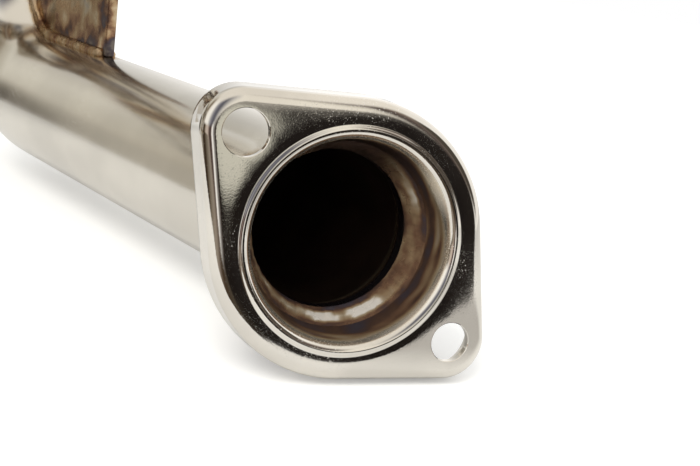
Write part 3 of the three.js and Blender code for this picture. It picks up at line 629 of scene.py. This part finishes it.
def laid_bead(name, path, out, up, profile, crown, pitch, depth, filler=None, looped=True, uneven=0.0004,
              swell=1.0):
    """A weld bead: a profile of (out, up) pairs carried along a path and raised into ripples.

    pitch and depth are the ripples' own, crown is how much each point of the profile takes of them, and
    swell scales the profile along the path."""
    profile = np.asarray(profile, float)
    out, up = (np.broadcast_to(np.asarray(part, float), path.shape)[:, None, :] for part in (out, up))
    sizes = (np.ones(len(path)) * swell)[:, None, None]
    rings = path[:, None, :] + sizes * (out * profile[:, :1] + up * profile[:, 1:])
    mesh = loft(name, rings, looped=looped, capped=not looped)
    along = np.concatenate([[0], np.cumsum(np.linalg.norm(np.diff(path, axis=0), axis=1))])
    if looped:
        length = along[-1] + np.linalg.norm(path[0] - path[-1])
        pitch = length / round(length / pitch)
    store(mesh, "along", np.repeat(along, len(profile)))
    store(mesh, "across", np.tile(np.linspace(-1, 1, len(profile)), len(path)))
    store(mesh, "crown", np.tile(crown, len(path)))
    mesh = apply_tree(place_object(name, mesh), weld_ripples, Pitch=pitch, Depth=depth, Unevenness=uneven,
                      Filler=filler or bead_steel)
    smooth(mesh, 60.0)
    return mesh


def fillet_profile(leg, bulge, steps=9):
    """The open side of a fillet from one toe to the other, then back through the corner."""
    turns = np.linspace(0, np.pi / 2, steps)
    rounded = leg * np.stack([1 - np.sin(turns), 1 - np.cos(turns)], 1)
    straight = leg * np.stack([1 - turns * 2 / np.pi, turns * 2 / np.pi], 1)
    face = straight + (straight - rounded) * bulge
    crown = np.concatenate([np.sin(turns * 2) ** 0.7, [0.0]])
    return np.concatenate([face, [[0.0, 0.0]]]), crown


def ring_about(steps, across, upward):
    """Directions round an axis, one for each step of a whole turn."""
    turns = whole_turn(steps)[:, None]
    return np.cos(turns) * np.array(across, float) + np.sin(turns) * np.array(upward, float)


bead_steel = steel("stainless_filler", (0.58, 0.53, 0.45), gloss=(0.22, 0.42), cloud=160.0,
                   lines=(300.0, 300.0, 300.0), relief=0.5, specks=0.4)
leg = 0.0052
profile, crown = fillet_profile(leg, bulge=0.25)
out = ring_about(420, (1, 0, 0), (0, 1, 0))

for number, y in enumerate(port_row, 1):
    path = out * (runner_radius + 0.0001) + np.array([0, y, plate_thick])
    bead = laid_bead(f"port_weld_{number}_bead", path, out, (0, 0, 1), profile, crown, pitch=0.0026,
                     depth=0.00075)
    places = corners_of(bead)
    swing = np.arctan2(places[:, 1] - y, places[:, 0])
    warmth = 0.10 + 0.07 * np.sin(3 * swing + number) + 0.06 * np.sin(7 * swing + 2 * number)
    warmth += 0.65 * np.exp((plate_thick - places[:, 2]) / 0.0014)
    warmth += 0.65 * np.exp((places[:, 2] - plate_thick - leg) / 0.0012)
    store_share(bead, "weld_heat", warmth)
    fit_piece(bead, None, f"port_weld_{number}")


# ---------------------------------------------------------------- bundle welds
# Short seams that tie the four runners together just ahead of the collector, one in each outer valley
# of the bundle. Each is a stubby bead with rounded ends.

valley = 0.03529
along = np.linspace(-1, 1, 60)
turns = whole_turn(18) - np.pi / 2
profile = np.stack([0.0039 * np.cos(turns), 0.0036 * np.sin(turns)], 1)
crown = np.clip(np.sin(turns) + 0.2, 0, 1)
round_ends = np.maximum(1 - np.abs(along) ** 5, 0.03) ** 0.5

for side, (y, z) in {"upper": (0, 1), "lower": (0, -1), "left": (-1, 0), "right": (1, 0)}.items():
    path = np.outer(along, (0.0079, 0, 0)) + (0.172, y * valley, collector_z + z * valley)
    bead = laid_bead(f"bundle_weld_{side}_bead", path, (0, z, -y), (0, y, z), profile, crown, pitch=0.0023,
                     depth=0.0005, looped=False, swell=round_ends)
    store_share(bead, "weld_heat", 0.12)
    fit_piece(bead, None, f"bundle_weld_{side}")


# ---------------------------------------------------------------- merge spike
# A small four-sided point of folded sheet between the runner ends. It closes the gap in the middle of
# the bundle and parts the four gas streams; only someone looking up the collector sees it.

half = 0.0146
spike_mesh = bpy.data.meshes.new("merge_spike_point")
spike = bmesh.new()
foot = [spike.verts.new((runner_end_x, y, collector_z + z)) for y, z in (
    (0, half), (-half, 0), (0, -half), (half, 0))]
tip = spike.verts.new((0.257, 0, collector_z))
spike.faces.new(foot)
for k in range(4):
    spike.faces.new((foot[k], foot[(k + 1) % 4], tip))
bmesh.ops.bevel(spike, geom=list(spike.edges), offset=0.0006, segments=2, affect="EDGES")
spike.to_mesh(spike_mesh)
spike.free()
face_outwards(spike_mesh)
smooth(spike_mesh)
store_share(spike_mesh, "weld_heat", 0.45)
spike_steel = steel("folded_spike_sheet", (0.45, 0.42, 0.38), gloss=(0.22, 0.38), cloud=60.0,
                    lines=(60.0, 60.0, 900.0), relief=0.2, specks=0.5)
fit_piece(spike_mesh, spike_steel, "merge_spike")


# ---------------------------------------------------------------- collector
# A formed stainless shell. Its mouth wraps the four tubes in four lobes and it eases down to one round
# 63.5 mm spigot, polished outside, with a tint round the mouth, the sensor boss and the outlet joint.

bundle_mouth_x = 0.184
mouth_length = 0.028
taper_length = 0.092
collector_length = 0.166
spigot_end_x = bundle_mouth_x + collector_length
lobe_steps = 26
pipe_radius = 0.03175
pipe_wall = 0.0016


def slope_up(value, low, high):
    """0 at low, 1 at high and straight between them; high may be the lower one."""
    return np.clip((value - low) / (high - low), 0, 1)


def eased(share):
    return share * share * (3 - 2 * share)


def lobed_outline(gap, steps):
    """The outline round four tubes: one wide arc in each quarter, meeting the next in a valley."""
    opened = runner_radius + gap
    rise = math.sqrt(opened ** 2 - lane ** 2)
    reach = math.pi / 4 + math.atan2(lane, rise)
    middles = np.repeat(np.pi / 4 + np.arange(4) * np.pi / 2, steps)
    angles = middles + reach * (2 * np.tile(np.arange(steps), 4) / steps - 1)
    centre = lane * math.sqrt(2)
    return np.stack([centre * np.cos(middles) + opened * np.cos(angles),
                     centre * np.sin(middles) + opened * np.sin(angles)], 1)


def collector_ring(gap, round_radius, along):
    share = eased(slope_up(along, mouth_length, mouth_length + taper_length))
    ring = lobed_outline(gap, lobe_steps) * (1 - share) + circle(round_radius, 4 * lobe_steps, 0, 0) * share
    return np.stack([np.full(len(ring), bundle_mouth_x + along), ring[:, 0], collector_z + ring[:, 1]], 1)


outside = np.concatenate([[0.0, 0.0006], np.linspace(0.004, collector_length - 0.0008, 56), [collector_length]])
shell_rings = [collector_ring(0.0019 - (0.0005 if a == 0 else 0), pipe_radius, a) for a in outside]
shell_rings += [collector_ring(0.0004, pipe_radius - pipe_wall, a) for a in outside[::-1]]
collector_shell = loft("collector_shell", np.array(shell_rings), looped=True)
inner_from = len(outside) * 4 * lobe_steps
store_share(collector_shell, "bore", np.arange(len(collector_shell.vertices)) >= inner_from)


def bore_hole(mesh, place, axis, cutter):
    """Cuts a round hole through a closed mesh; cutter is the drill's (radius, height) pairs."""
    rings = np.array([ring_about(64, (r, 0, 0), (0, r, 0)) + (0, 0, h) for r, h in cutter])
    drill = loft("drill", rings, capped=True)
    drill.transform(Matrix.Translation(place) @ Vector(axis).to_track_quat("Z", "Y").to_matrix().to_4x4())
    tool = place_object("drill", drill)
    blank = place_object(mesh.name, mesh)
    cut = blank.modifiers.new("hole", "BOOLEAN")
    cut.operation = "DIFFERENCE"
    cut.solver = "EXACT"
    cut.object = tool
    drilled = evaluated_mesh(blank, mesh.name)
    bpy.data.objects.remove(tool)
    return drilled


boss_x = 0.326
boss_base_z = collector_z + pipe_radius
boss_bore = 0.009
collector_shell = bore_hole(collector_shell, (boss_x, 0, boss_base_z), (0, 0, 1),
                            [(boss_bore, -0.015), (boss_bore, 0.015)])
places = corners_of(collector_shell)
warmth = 0.85 * fade(places[:, 0] - 0.186, 0.010)
warmth += 0.9 * fade(spigot_end_x - 0.003 - places[:, 0], 0.008)
boss_gap = np.hypot(places[:, 0] - boss_x, places[:, 1]) - 0.018
warmth += 0.9 * fade(boss_gap, 0.005) * (places[:, 2] > collector_z)
store_share(collector_shell, "weld_heat", warmth)
smooth(collector_shell, 40.0)
fit_piece(collector_shell, mirror_tube, "collector")


def unit(rows):
    return rows / np.linalg.norm(rows, axis=1)[:, None]


rim = lobed_outline(0.0006, 110)
rim_next = np.roll(rim, -1, 0) - np.roll(rim, 1, 0)
out = unit(np.stack([0 * rim[:, 0], rim_next[:, 1], -rim_next[:, 0]], 1))
path = np.stack([np.full(len(rim), bundle_mouth_x - 0.0001), rim[:, 0], collector_z + rim[:, 1]], 1)
profile, crown = fillet_profile(0.0034, bulge=0.45, steps=8)
profile *= (0.95, 1.2)
bead = laid_bead("collector_mouth_bead", path, out, (-1, 0, 0), profile, crown, pitch=0.0024, depth=0.0005)
store_share(bead, "weld_heat", 0.5 * np.exp((0.1798 - corners_of(bead)[:, 0]) / 0.001) + 0.15)
fit_piece(bead, None, "collector_mouth_weld")


# ---------------------------------------------------------------- sensor boss, its bead and plug
# A turned M18 boss saddled on the spigot with a small fillet bead, closed by a zinc-plated hexagon
# plug on a copper crush washer.

def turned_rings(radii, heights, turns):
    """Points round the boss's axis, a row of them for each turn."""
    return np.stack([boss_x + radii * np.cos(turns)[:, None], radii * np.sin(turns)[:, None],
                     np.tile(boss_base_z + heights, (len(turns), 1))], -1)


def turned_part(name, profile):
    """A closed profile of (radius, height) pairs turned about the boss's axis."""
    profile = np.array(profile)
    turns = whole_turn(72)
    mesh = loft(name, turned_rings(np.tile(profile[:, 0], (72, 1)), profile[:, 1], turns), looped=True)
    smooth(mesh)
    return mesh


boss = turned_part("sensor_boss_turning", [
    (boss_bore, 0.0122), (0.0098, 0.0130), (0.0134, 0.0130), (0.014, 0.0124), (0.014, 0.0045),
    (0.014, -0.0045), (boss_bore, -0.0045), (boss_bore, 0.0050)])
store_share(boss, "weld_heat", 0.8 * fade(corners_of(boss)[:, 2] - boss_base_z - 0.001, 0.0025))
turned_steel = steel("turned_boss_steel", (0.56, 0.54, 0.50), gloss=(0.20, 0.30), cloud=60.0,
                     lines=(90.0, 90.0, 2600.0), relief=0.6, specks=0.2)
fit_piece(boss, turned_steel, "sensor_boss")

turns = whole_turn(260)
saddle_y = 0.0143 * np.sin(turns)
saddle_z = np.sqrt((pipe_radius + 0.0001) ** 2 - saddle_y ** 2)
path = np.stack([boss_x + 0.0138 * np.cos(turns), 0.0138 * np.sin(turns), collector_z + saddle_z - 0.0002], 1)
out = unit(np.stack([np.cos(turns), np.sin(turns), -np.sin(turns) * saddle_y / saddle_z], 1))
profile, crown = fillet_profile(0.0046, bulge=0.3, steps=8)
bead = laid_bead("sensor_boss_bead", path, out, (0, 0, 1), profile, crown, pitch=0.0021, depth=0.00045)
store_share(bead, "weld_heat", 0.18)
fit_piece(bead, None, "sensor_boss_weld")

washer = turned_part("plug_washer_ring", [
    (boss_bore, 0.0131), (0.0115, 0.0130), (0.0119, 0.0133), (0.0121, 0.01375), (0.0119, 0.0142),
    (0.0115, 0.0145), (boss_bore, 0.0144)])
washer_copper = steel("crushed_copper", (0.72, 0.36, 0.20), gloss=(0.24, 0.42), cloud=120.0,
                      lines=(200.0, 200.0, 900.0), relief=0.4, specks=0.2, tint=False)
fit_piece(washer, washer_copper, "plug_washer")

plug_radii, plug_heights = np.array([
    (0.0, 0.0228), (0.0058, 0.0228), (0.0064, 0.0233), (0.0098, 0.0235), (0.0106, 0.0232),
    (0.01275, 0.0221), (0.01275, 0.0190), (0.01275, 0.0163), (0.0108, 0.0147), (0.0108, 0.0143),
    (0.0086, 0.0140), (0.0086, 0.0030), (0.0076, 0.0016), (0.0, 0.0016)]).T
turns = whole_turn(96)
# The head above the washer is cut to six flats, 22 mm across; its chamfer stays round.
flats = 0.0110 / np.cos((turns + np.pi / 6) % (np.pi / 3) - np.pi / 6)
radii = np.where(plug_heights > 0.0144, np.minimum(plug_radii, flats[:, None]), plug_radii)
rings = turned_rings(np.maximum(radii, 0.00001), plug_heights, turns)
plug = loft("sensor_plug_head", rings.transpose(1, 0, 2), capped=True)
smooth(plug, 30.0)
plated_steel = steel("zinc_plated_steel", (0.62, 0.62, 0.60), gloss=(0.20, 0.34), cloud=90.0,
                     lines=(400.0, 400.0, 400.0), relief=0.3, specks=0.25, tint=False)
fit_piece(plug, plated_steel, "sensor_plug")


# ---------------------------------------------------------------- upper elbow and collector outlet weld
# A 63.5 mm mirror-polished elbow that turns the flow from the collector down into the riser, butted on
# the collector's spigot and joined by a low crowned bead.

riser_x = 0.4221
riser_top_z = 0.11694
pipe_bend = 0.0635
elbow_line = bent_line([(spigot_end_x + 0.0006, 0, collector_z), (riser_x, 0, collector_z),
                        (riser_x, 0, riser_top_z + 0.0006)], pipe_bend)
elbow = drawn_tube("upper_elbow_tube", elbow_line, pipe_radius, pipe_wall, sides=88, metal=mirror_tube)
places = corners_of(elbow)
# Tint beside the joint at each end.
warmth = 0.9 * fade(places[:, 0] - spigot_end_x - 0.004, 0.008) * (places[:, 2] > 0.15)
warmth += 0.9 * fade(places[:, 2] - 0.1215, 0.008) * (places[:, 2] < 0.18)
store_share(elbow, "weld_heat", warmth)
fit_piece(elbow, mirror_tube, "upper_elbow")

crown_steps = np.linspace(-1, 1, 11)
butt_profile = np.concatenate([
    np.stack([0.0018 * (1 - np.abs(crown_steps) ** 2.2), 0.0035 * crown_steps], 1),
    [[-0.0004, 0.0030], [-0.0004, -0.0030]]])
butt_crown = np.concatenate([np.clip(1 - np.abs(crown_steps) ** 3, 0, 1), [0, 0]])


def butt_bead(joint, place, across, upward, axis):
    """A low bead round a butt joint of the pipe, put in the place of its CAD node."""
    out = ring_about(560, across, upward)
    path = out * (pipe_radius + 0.0002) + place
    bead = laid_bead(f"{joint}_bead", path, out, axis, butt_profile, butt_crown, pitch=0.0023, depth=0.00045)
    lateral = np.abs((corners_of(bead) - place) @ axis)
    store_share(bead, "weld_heat", 0.55 * np.exp((lateral - 0.0035) / 0.0009) + 0.08)
    fit_piece(bead, None, f"{joint}_weld")


butt_bead("collector_outlet", (spigot_end_x + 0.0003, 0, collector_z), (0, 1, 0), (0, 0, 1), (1, 0, 0))


# ---------------------------------------------------------------- outlet pipe and riser weld
# One length of 63.5 x 1.6 mm polished tube: sized down at its end to enter the flange, bent slightly
# behind it, straight along the table, then bent up into the riser, where a butt bead joins it.

pipe_axis_z = 0.04344
flange_turn = Matrix.Rotation(math.radians(-22), 3, "Z") @ Matrix.Rotation(math.radians(-6.7), 3, "X")
flange_centre = Vector((0.4027535, -0.3278843, 0.0495042))
bore_back = flange_turn @ Vector((0, 1, 0))
line = bent_line([flange_centre + bore_back * 0.026, (riser_x, -0.280, pipe_axis_z), (riser_x, 0, pipe_axis_z),
                  (riser_x, 0, riser_top_z)], pipe_bend, spacing=0.0045)
depths = np.array([(point - flange_centre).dot(bore_back) for point in line])
sized_down = np.where(np.arange(len(line)) < 12, eased(slope_up(depths, 0.037, 0.032)), 0)
outlet_pipe = drawn_tube("outlet_pipe_tube", line, pipe_radius, pipe_wall, sides=104, metal=mirror_tube,
                         widths=1 - sized_down * (0.0020 / pipe_radius))

# The foot and the front edge of the bracket, which tint the pipe beside them.
foot_seam = [(riser_x, y, pipe_axis_z + pipe_radius) for y in np.linspace(-0.118, -0.064, 12)]
foot_seam += [(riser_x, pipe_radius * math.cos(a) - pipe_bend, 0.1069 - pipe_radius * math.sin(a))
              for a in np.linspace(0, 1.57, 8)]
foot_seam += [(riser_x, -pipe_radius, z) for z in (0.107, 0.113)]
places = corners_of(outlet_pipe)
# Tint below the riser's joint, along the bracket's foot and at the flange.
at_flange = places[:, 1] < -0.25
from_centre = places - np.array(flange_centre)
end_depth = from_centre @ np.array(bore_back)
warmth = 0.85 * fade(0.113 - places[:, 2], 0.006) + 0.55 * fade(distance_to(places, foot_seam) - 0.0042, 0.0014)
warmth += 0.9 * fade(end_depth - 0.030, 0.006) * at_flange
store_share(outlet_pipe, "weld_heat", warmth)
# Painted shade deepens inside the pipe behind the sized-down mouth.
inner_wall = np.arange(len(places)) >= len(places) // 2
near_axis = np.linalg.norm(np.cross(from_centre, np.array(bore_back)), axis=1) < 0.0297
mouth = inner_wall & near_axis & at_flange & (end_depth < 0.05)
mouth_shade = np.maximum(slope_up(end_depth, 0.024, 0.042), 0.15)
store_share(outlet_pipe, "bore", np.where(mouth, mouth_shade, inner_wall))
fit_piece(outlet_pipe, mirror_tube, "outlet_pipe")

butt_bead("riser", (riser_x, 0, riser_top_z + 0.0003), (1, 0, 0), (0, 1, 0), (0, 0, 1))


# ---------------------------------------------------------------- outlet flange
# One stamping of 2.5 mm stainless sheet, mirror-polished: rounded edge and turned-back skirt, an ear
# with a bolt hole at each end, and a dished socket with a rolled lip that narrows to a neck on the pipe.

sheet = 0.0025
ear_reach = 0.0513
ear_radius = 0.0097
flat_radius = 0.0430
lip_radius = 0.0385
neck = 0.03015
crest_radius, crest_rise = 0.0371, 0.00035
side_normal = math.acos((flat_radius - ear_radius) / ear_reach)
ear_tilt = math.pi / 2 - side_normal


def flange_outline(offset):
    """The outline of tangents round the centre and the two ears, moved outward by an offset."""
    spans = [(-side_normal, side_normal, ear_reach, ear_radius),
             (side_normal, math.pi - side_normal, 0.0, flat_radius),
             (math.pi - side_normal, math.pi + side_normal, -ear_reach, ear_radius),
             (math.pi + side_normal, 2 * math.pi - side_normal, 0.0, flat_radius)]
    arcs = []
    for start, end, centre, radius in spans:
        angles = np.linspace(start, end, 37)
        reach = radius + offset
        arcs.append(np.stack([centre + reach * np.cos(angles), reach * np.sin(angles)], 1))
    points = []
    share = np.arange(1, 22)[:, None] / 22
    for arc, following in zip(arcs, arcs[1:] + arcs[:1]):
        points += [arc, arc[-1] * (1 - share) + following[0] * share]
    tilt = np.array([[math.cos(ear_tilt), -math.sin(ear_tilt)], [math.sin(ear_tilt), math.cos(ear_tilt)]])
    return np.concatenate(points) @ tilt


spokes = unit(flange_outline(0.0))


def edge_station(offset, depth):
    return flange_outline(offset), depth


def ring_station(radius, depth):
    return spokes * radius, depth


def between(first, last, depth, shares):
    return [(first * (1 - share) + last * share, depth) for share in shares]


def rounded(radius, steps, place):
    """Stations round a quarter bend of the sheet."""
    angles = np.linspace(0, math.pi / 2, steps + 1)
    return [place(radius * math.sin(a), radius * (1 - math.cos(a))) for a in angles]


def eased_wall(marks):
    """A smooth wall through (depth, radius) marks, as (radius, depth) pairs."""
    marks = np.array(marks)
    slopes = np.gradient(marks[:, 1], marks[:, 0])
    # It leaves the lip at a slight slant and is straight where it ends.
    slopes[0], slopes[-1] = -0.06, 0.0
    wall = []
    for (depth, radius), (depth_on, radius_on), slope, slope_on in zip(marks, marks[1:], slopes, slopes[1:]):
        span = depth_on - depth
        for t in np.arange(7) / 7:
            wall.append(((2 * t ** 3 - 3 * t ** 2 + 1) * radius + (t ** 3 - 2 * t ** 2 + t) * span * slope
                         + (3 * t ** 2 - 2 * t ** 3) * radius_on + (t ** 3 - t ** 2) * span * slope_on,
                         depth + t * span))
    return wall + [(marks[-1, 1], marks[-1, 0])]


# The section, as the stamping's surface is followed round: edge, skirt, its underside, the outside of
# the socket, the neck, the bowl and the lip.
stations = [edge_station(-0.0003, 0.0)] + rounded(0.0044, 14, edge_station)[1:]
stations += [edge_station(offset, depth) for offset, depth in (
    (0.0046, 0.008), (0.0050, 0.0118), (0.0052, 0.0132), (0.0050, 0.0138), (0.0045, 0.0140), (0.0034, 0.0140),
    (0.0029, 0.0138), (0.0027, 0.0132), (0.0024, 0.0110), (0.0021, 0.0070))]
stations += rounded(0.0019, 6, lambda offset, down: edge_station(offset, sheet + down))[::-1]
stations += between(flange_outline(0.0), spokes * lip_radius, sheet, (0.3, 0.6, 0.85))
stations += rounded(0.0021, 6, lambda inward, down: ring_station(lip_radius - inward, sheet + down))
bowl = eased_wall([(0.0064, 0.0336), (0.012, 0.0326), (0.019, 0.0312), (0.024, neck), (0.0306, neck)])
stations += [ring_station(radius + sheet, depth) for radius, depth in bowl if depth > 0.0075]
stations += [ring_station(neck + sheet - 0.0004, 0.031), ring_station(neck + 0.0004, 0.031)]
stations += [ring_station(radius, depth) for radius, depth in bowl[::-1]]
for a in np.radians((84, 76, 68, 60, 52, 45, 38, 31, 25, 20, 15, 10, 5, 0)):
    stations.append(ring_station(crest_radius - 0.0035 * math.sin(a), 0.0066 * (1 - math.cos(a)) - crest_rise))
# The lip stands a little proud: it drops outward into a shallow valley that eases up to the flat face.
stations += [ring_station(radius, depth) for radius, depth in (
    (0.0373, -0.00034), (0.0375, -0.00030), (0.0377, -0.00023), (0.0379, -0.00014), (0.0381, -0.00003),
    (0.0383, 0.00007), (0.0385, 0.00013), (0.0387, 0.00015), (0.0390, 0.00014), (0.0394, 0.00010),
    (0.0399, 0.00006), (0.0405, 0.00002), (0.0412, 0.0))]
stations += between(stations[-1][0], stations[0][0], 0.0, (0.33, 0.66))
rings = np.array([[(x, depth, z) for x, z in outline] for outline, depth in stations])
turn = np.array(flange_turn)
stamping = loft("outlet_flange_stamping", rings @ turn.T + np.array(flange_centre), looped=True)
# A bolt hole in each ear, of its own width, with a broken edge at the front face.
for side, hole in ((1, 0.0069), (-1, 0.0076)):
    reach = side * ear_reach
    ear = flange_turn @ Vector((reach * math.cos(ear_tilt), 0, -reach * math.sin(ear_tilt)))
    stamping = bore_hole(stamping, flange_centre + ear, bore_back,
                         [(hole + 0.0004, -0.004), (hole + 0.0004, -0.00017), (hole, 0.00023), (hole, 0.0043)])


def hump(angle, middle, width):
    return np.exp(-((angle - middle) / width) ** 2)


def top_of_socket_shade(round_angle):
    """Painted shade at the top of the socket, as a share from 0 to 1."""
    return slope_up(np.sin(round_angle + 0.1), 0.68, 0.96)


def streaks(round_angle, depth, seed):
    """Wandering bands round a socket, about -1 to 1."""
    dice = np.random.default_rng(seed)
    waves = [np.sin(n * round_angle + dice.uniform(-4, 4) * depth / 0.0035 + dice.uniform(0, 6.28))
             / math.sqrt(n) for n in (1, 2, 3, 5, 7, 11, 16, 23)]
    return sum(waves) / 2.4


local = (corners_of(stamping) - np.array(flange_centre)) @ turn
radius, depth = np.hypot(local[:, 0], local[:, 2]), local[:, 1]
round_angle = np.arctan2(local[:, 2], local[:, 0])
in_bowl = (radius < 0.0362) & (depth > 0.0006)
top_shade = top_of_socket_shade(round_angle)
# The tint starts deeper at the bowl's upper right, which leaves room for a painted highlight there.
clean_and_glint_to = 0.0026 + 0.004 * hump(round_angle, 0.62, 0.30)
shade = 0.15 + 0.32 * slope_up(depth, clean_and_glint_to, clean_and_glint_to + 0.0026) + 0.22 * slope_up(depth, 0.0075, 0.0115)
shade += 0.30 * streaks(round_angle, depth, 4) * slope_up(depth, clean_and_glint_to, clean_and_glint_to + 0.003)
# Painted shade darkens the tint at the top of the bowl.
shade += 0.40 * top_shade * slope_up(depth, 0.0035, 0.0075)
shade += 0.20 * hump(round_angle, -1.75, 0.65) * slope_up(depth, 0.006, 0.009)
neck_heat = 0.7 * fade(np.abs(depth - 0.031), 0.005) * (radius > 0.031)
store_share(stamping, "weld_heat", np.where(in_bowl, np.clip(shade, 0.07, 0.68), 0) + neck_heat)
# Painted shade turns the top of the bowl near black.
store_share(stamping, "bore", in_bowl * 0.95 * top_shade * slope_up(depth, 0.0045, 0.0095))
# Painted highlights: two patches of the bowl, at the upper right and the lower right, scatter more light.
painted_glint = np.maximum(0.8 * hump(round_angle, 0.62, 0.30) * slope_up(depth, 0.0078, 0.0058),
                   0.35 * hump(round_angle, -0.75, 0.6) * slope_up(depth, 0.0052, 0.0032))
store_share(stamping, "painted_highlight", in_bowl * painted_glint)
smooth(stamping, 28.0)
mirror_flange = steel("mirror_polished_stamping", (0.70, 0.665, 0.605), gloss=(0.05, 0.11), cloud=30.0,
                      lines=(1700.0, 1700.0, 1700.0), relief=0.06, specks=1.0, speck_size=2200.0, waves=3.0,
                      dark_bore=True, patchy=0.9, dull=(0.02, 0.26, 0.22), matte=0.34)
fit_piece(stamping, mirror_flange, "outlet_flange")


# ---------------------------------------------------------------- socket weld
# The bead that joins the pipe's end to the wall of the flange's socket, laid by hand inside the bore:
# lumpy, silvery on its crown, with the oxide colours of the bowl round it.

level, upright = np.array(flange_turn @ Vector((1, 0, 0))), np.array(flange_turn @ Vector((0, 0, 1)))
back = np.array(bore_back)
out = ring_about(420, level, upright)
path = np.array(flange_centre) + out * 0.02985 + back * 0.0257
inward_steps = [(0.0022, -0.0112), (0.0017, -0.0097), (0.0011, -0.0079), (0.0003, -0.0060), (-0.0005, -0.0042),
                (-0.0012, -0.0024), (-0.0016, -0.0010), (-0.0017, 0.0), (0.0, 0.0005), (0.0036, -0.0080)]
socket_crown = [0.0, 0.6, 0.95, 1.0, 1.0, 0.9, 0.7, 0.2, 0.0, 0.0]
socket_steel = steel("socket_filler", (0.78, 0.74, 0.68), gloss=(0.20, 0.42), cloud=95.0,
                     lines=(300.0, 300.0, 300.0), relief=0.9, specks=0.5, dark_bore=True, patchy=0.8, matte=0.5,
                     bare=0.85)
bead = laid_bead("socket_bead", path, out, back, inward_steps, socket_crown, pitch=0.0036, depth=0.00035,
                 filler=socket_steel, uneven=0.0013)
spot = corners_of(bead) - np.array(flange_centre)
depth, round_angle = spot @ back, np.arctan2(spot @ upright, spot @ level)
top_shade = top_of_socket_shade(round_angle)
shade = 0.48 + 0.36 * streaks(round_angle, depth, 9) + 0.26 * slope_up(depth, 0.0175, 0.0145)
# Painted shade darkens the tint at the top of the bead.
shade += 0.28 * slope_up(depth, 0.0225, 0.0255) + 0.25 * top_shade
# Two patches of the crown stay silver.
for middle, width, clean in ((-1.08, 0.22, 0.62), (-1.60, 0.19, 0.42)):
    shade -= clean * np.exp(-((round_angle - middle) / width) ** 4) * (np.abs(depth - 0.0195) < 0.0028)
store_share(bead, "weld_heat", np.clip(shade, 0.10, 0.64))
# Painted shade turns the top of the bead near black.
store_share(bead, "bore", 0.95 * top_shade)
fit_piece(bead, None, "socket_weld")


# ---------------------------------------------------------------- support bracket and its welds
# A 5 mm plate welded edgewise into the corner of the elbow, with one bolt hole in its lug. It was not
# polished after welding, so it keeps straw, brown and blue oxide, darkest at the foot.

lug_y, lug_z, lug_radius, lug_bore = -0.103, 0.12744, 0.015, 0.0053
inner_radius = 0.03145
foot_z = pipe_axis_z + pipe_radius + 0.0003
inner_bend = [(inner_radius * math.sin(a) - pipe_bend, pipe_axis_z + pipe_bend - inner_radius * math.cos(a))
              for a in np.linspace(0, math.pi / 2, 20)]
lug_arc = [(lug_y + lug_radius * math.cos(a), lug_z + lug_radius * math.sin(a))
           for a in np.linspace(math.radians(62), math.pi, 24)]
bracket_loop = [(-0.118, foot_z)] + inner_bend + [(-0.03205, 0.11344)] + lug_arc
bracket = cut_plate("support_bracket_plate", [bracket_loop, circle(lug_bore, 40, lug_y, lug_z)],
                    thick=0.005, edge=0.0005)
bracket.transform(Matrix(((0, 0, 1, riser_x), (1, 0, 0, 0), (0, 1, 0, 0), (0, 0, 0, 1))))
dense = bmesh.new()
dense.from_mesh(bracket)
bmesh.ops.triangulate(dense, faces=dense.faces)
long_edges = [e for e in dense.edges if e.calc_length() > 0.006]
bmesh.ops.subdivide_edges(dense, edges=long_edges, cuts=5, use_grid_fill=True)
dense.to_mesh(bracket)
dense.free()
smooth(bracket)
places = corners_of(bracket)
warmth = 0.26 + 0.36 * fade(distance_to(places, foot_seam) - 0.003, 0.014)
store_share(bracket, "weld_heat", warmth + 0.28 * slope_up(places[:, 1], -0.098, -0.116))
tinted_plate = steel("weld_tinted_plate", (0.52, 0.47, 0.40), gloss=(0.16, 0.34), cloud=110.0,
                     lines=(300.0, 300.0, 60.0), relief=0.4, specks=0.4, patchy=1.5)
fit_piece(bracket, tinted_plate, "support_bracket")

turns = whole_turn(18) - np.pi * 0.75
profile = 0.0026 * np.stack([np.cos(turns), np.sin(turns)], 1)
high_z, high_y = pipe_axis_z + pipe_radius + 0.0005, -pipe_radius - 0.0005

for side, node_name in ((-1, "bracket_weld_left"), (1, "bracket_weld_right")):
    x = riser_x + side * 0.0029
    seam = np.array(bent_line([(x, -0.1160, high_z), (x, high_y, high_z), (x, high_y, 0.1131)], 0.03095,
                              spacing=0.0006))
    ahead = unit(np.gradient(seam, axis=0))
    out = np.array([side, 0.0, 0.0])
    up = np.cross(out, ahead) * side
    share = np.linspace(0, 1, len(seam))
    ends = np.clip(np.minimum(share, 1 - share) / 0.03, 0.05, 1) ** 0.5
    bead = laid_bead(f"{node_name}_bead", seam, out, up, profile, np.full(18, 0.9), pitch=0.0026, depth=0.0006,
                     looped=False, uneven=0.0009, swell=ends)
    along_y = corners_of(bead)[:, 1]
    store_share(bead, "weld_heat", 0.42 + 0.10 * np.sin(along_y * 350) + 0.05 * np.sin(along_y * 910 + 2))
    fit_piece(bead, None, node_name)


low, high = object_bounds()
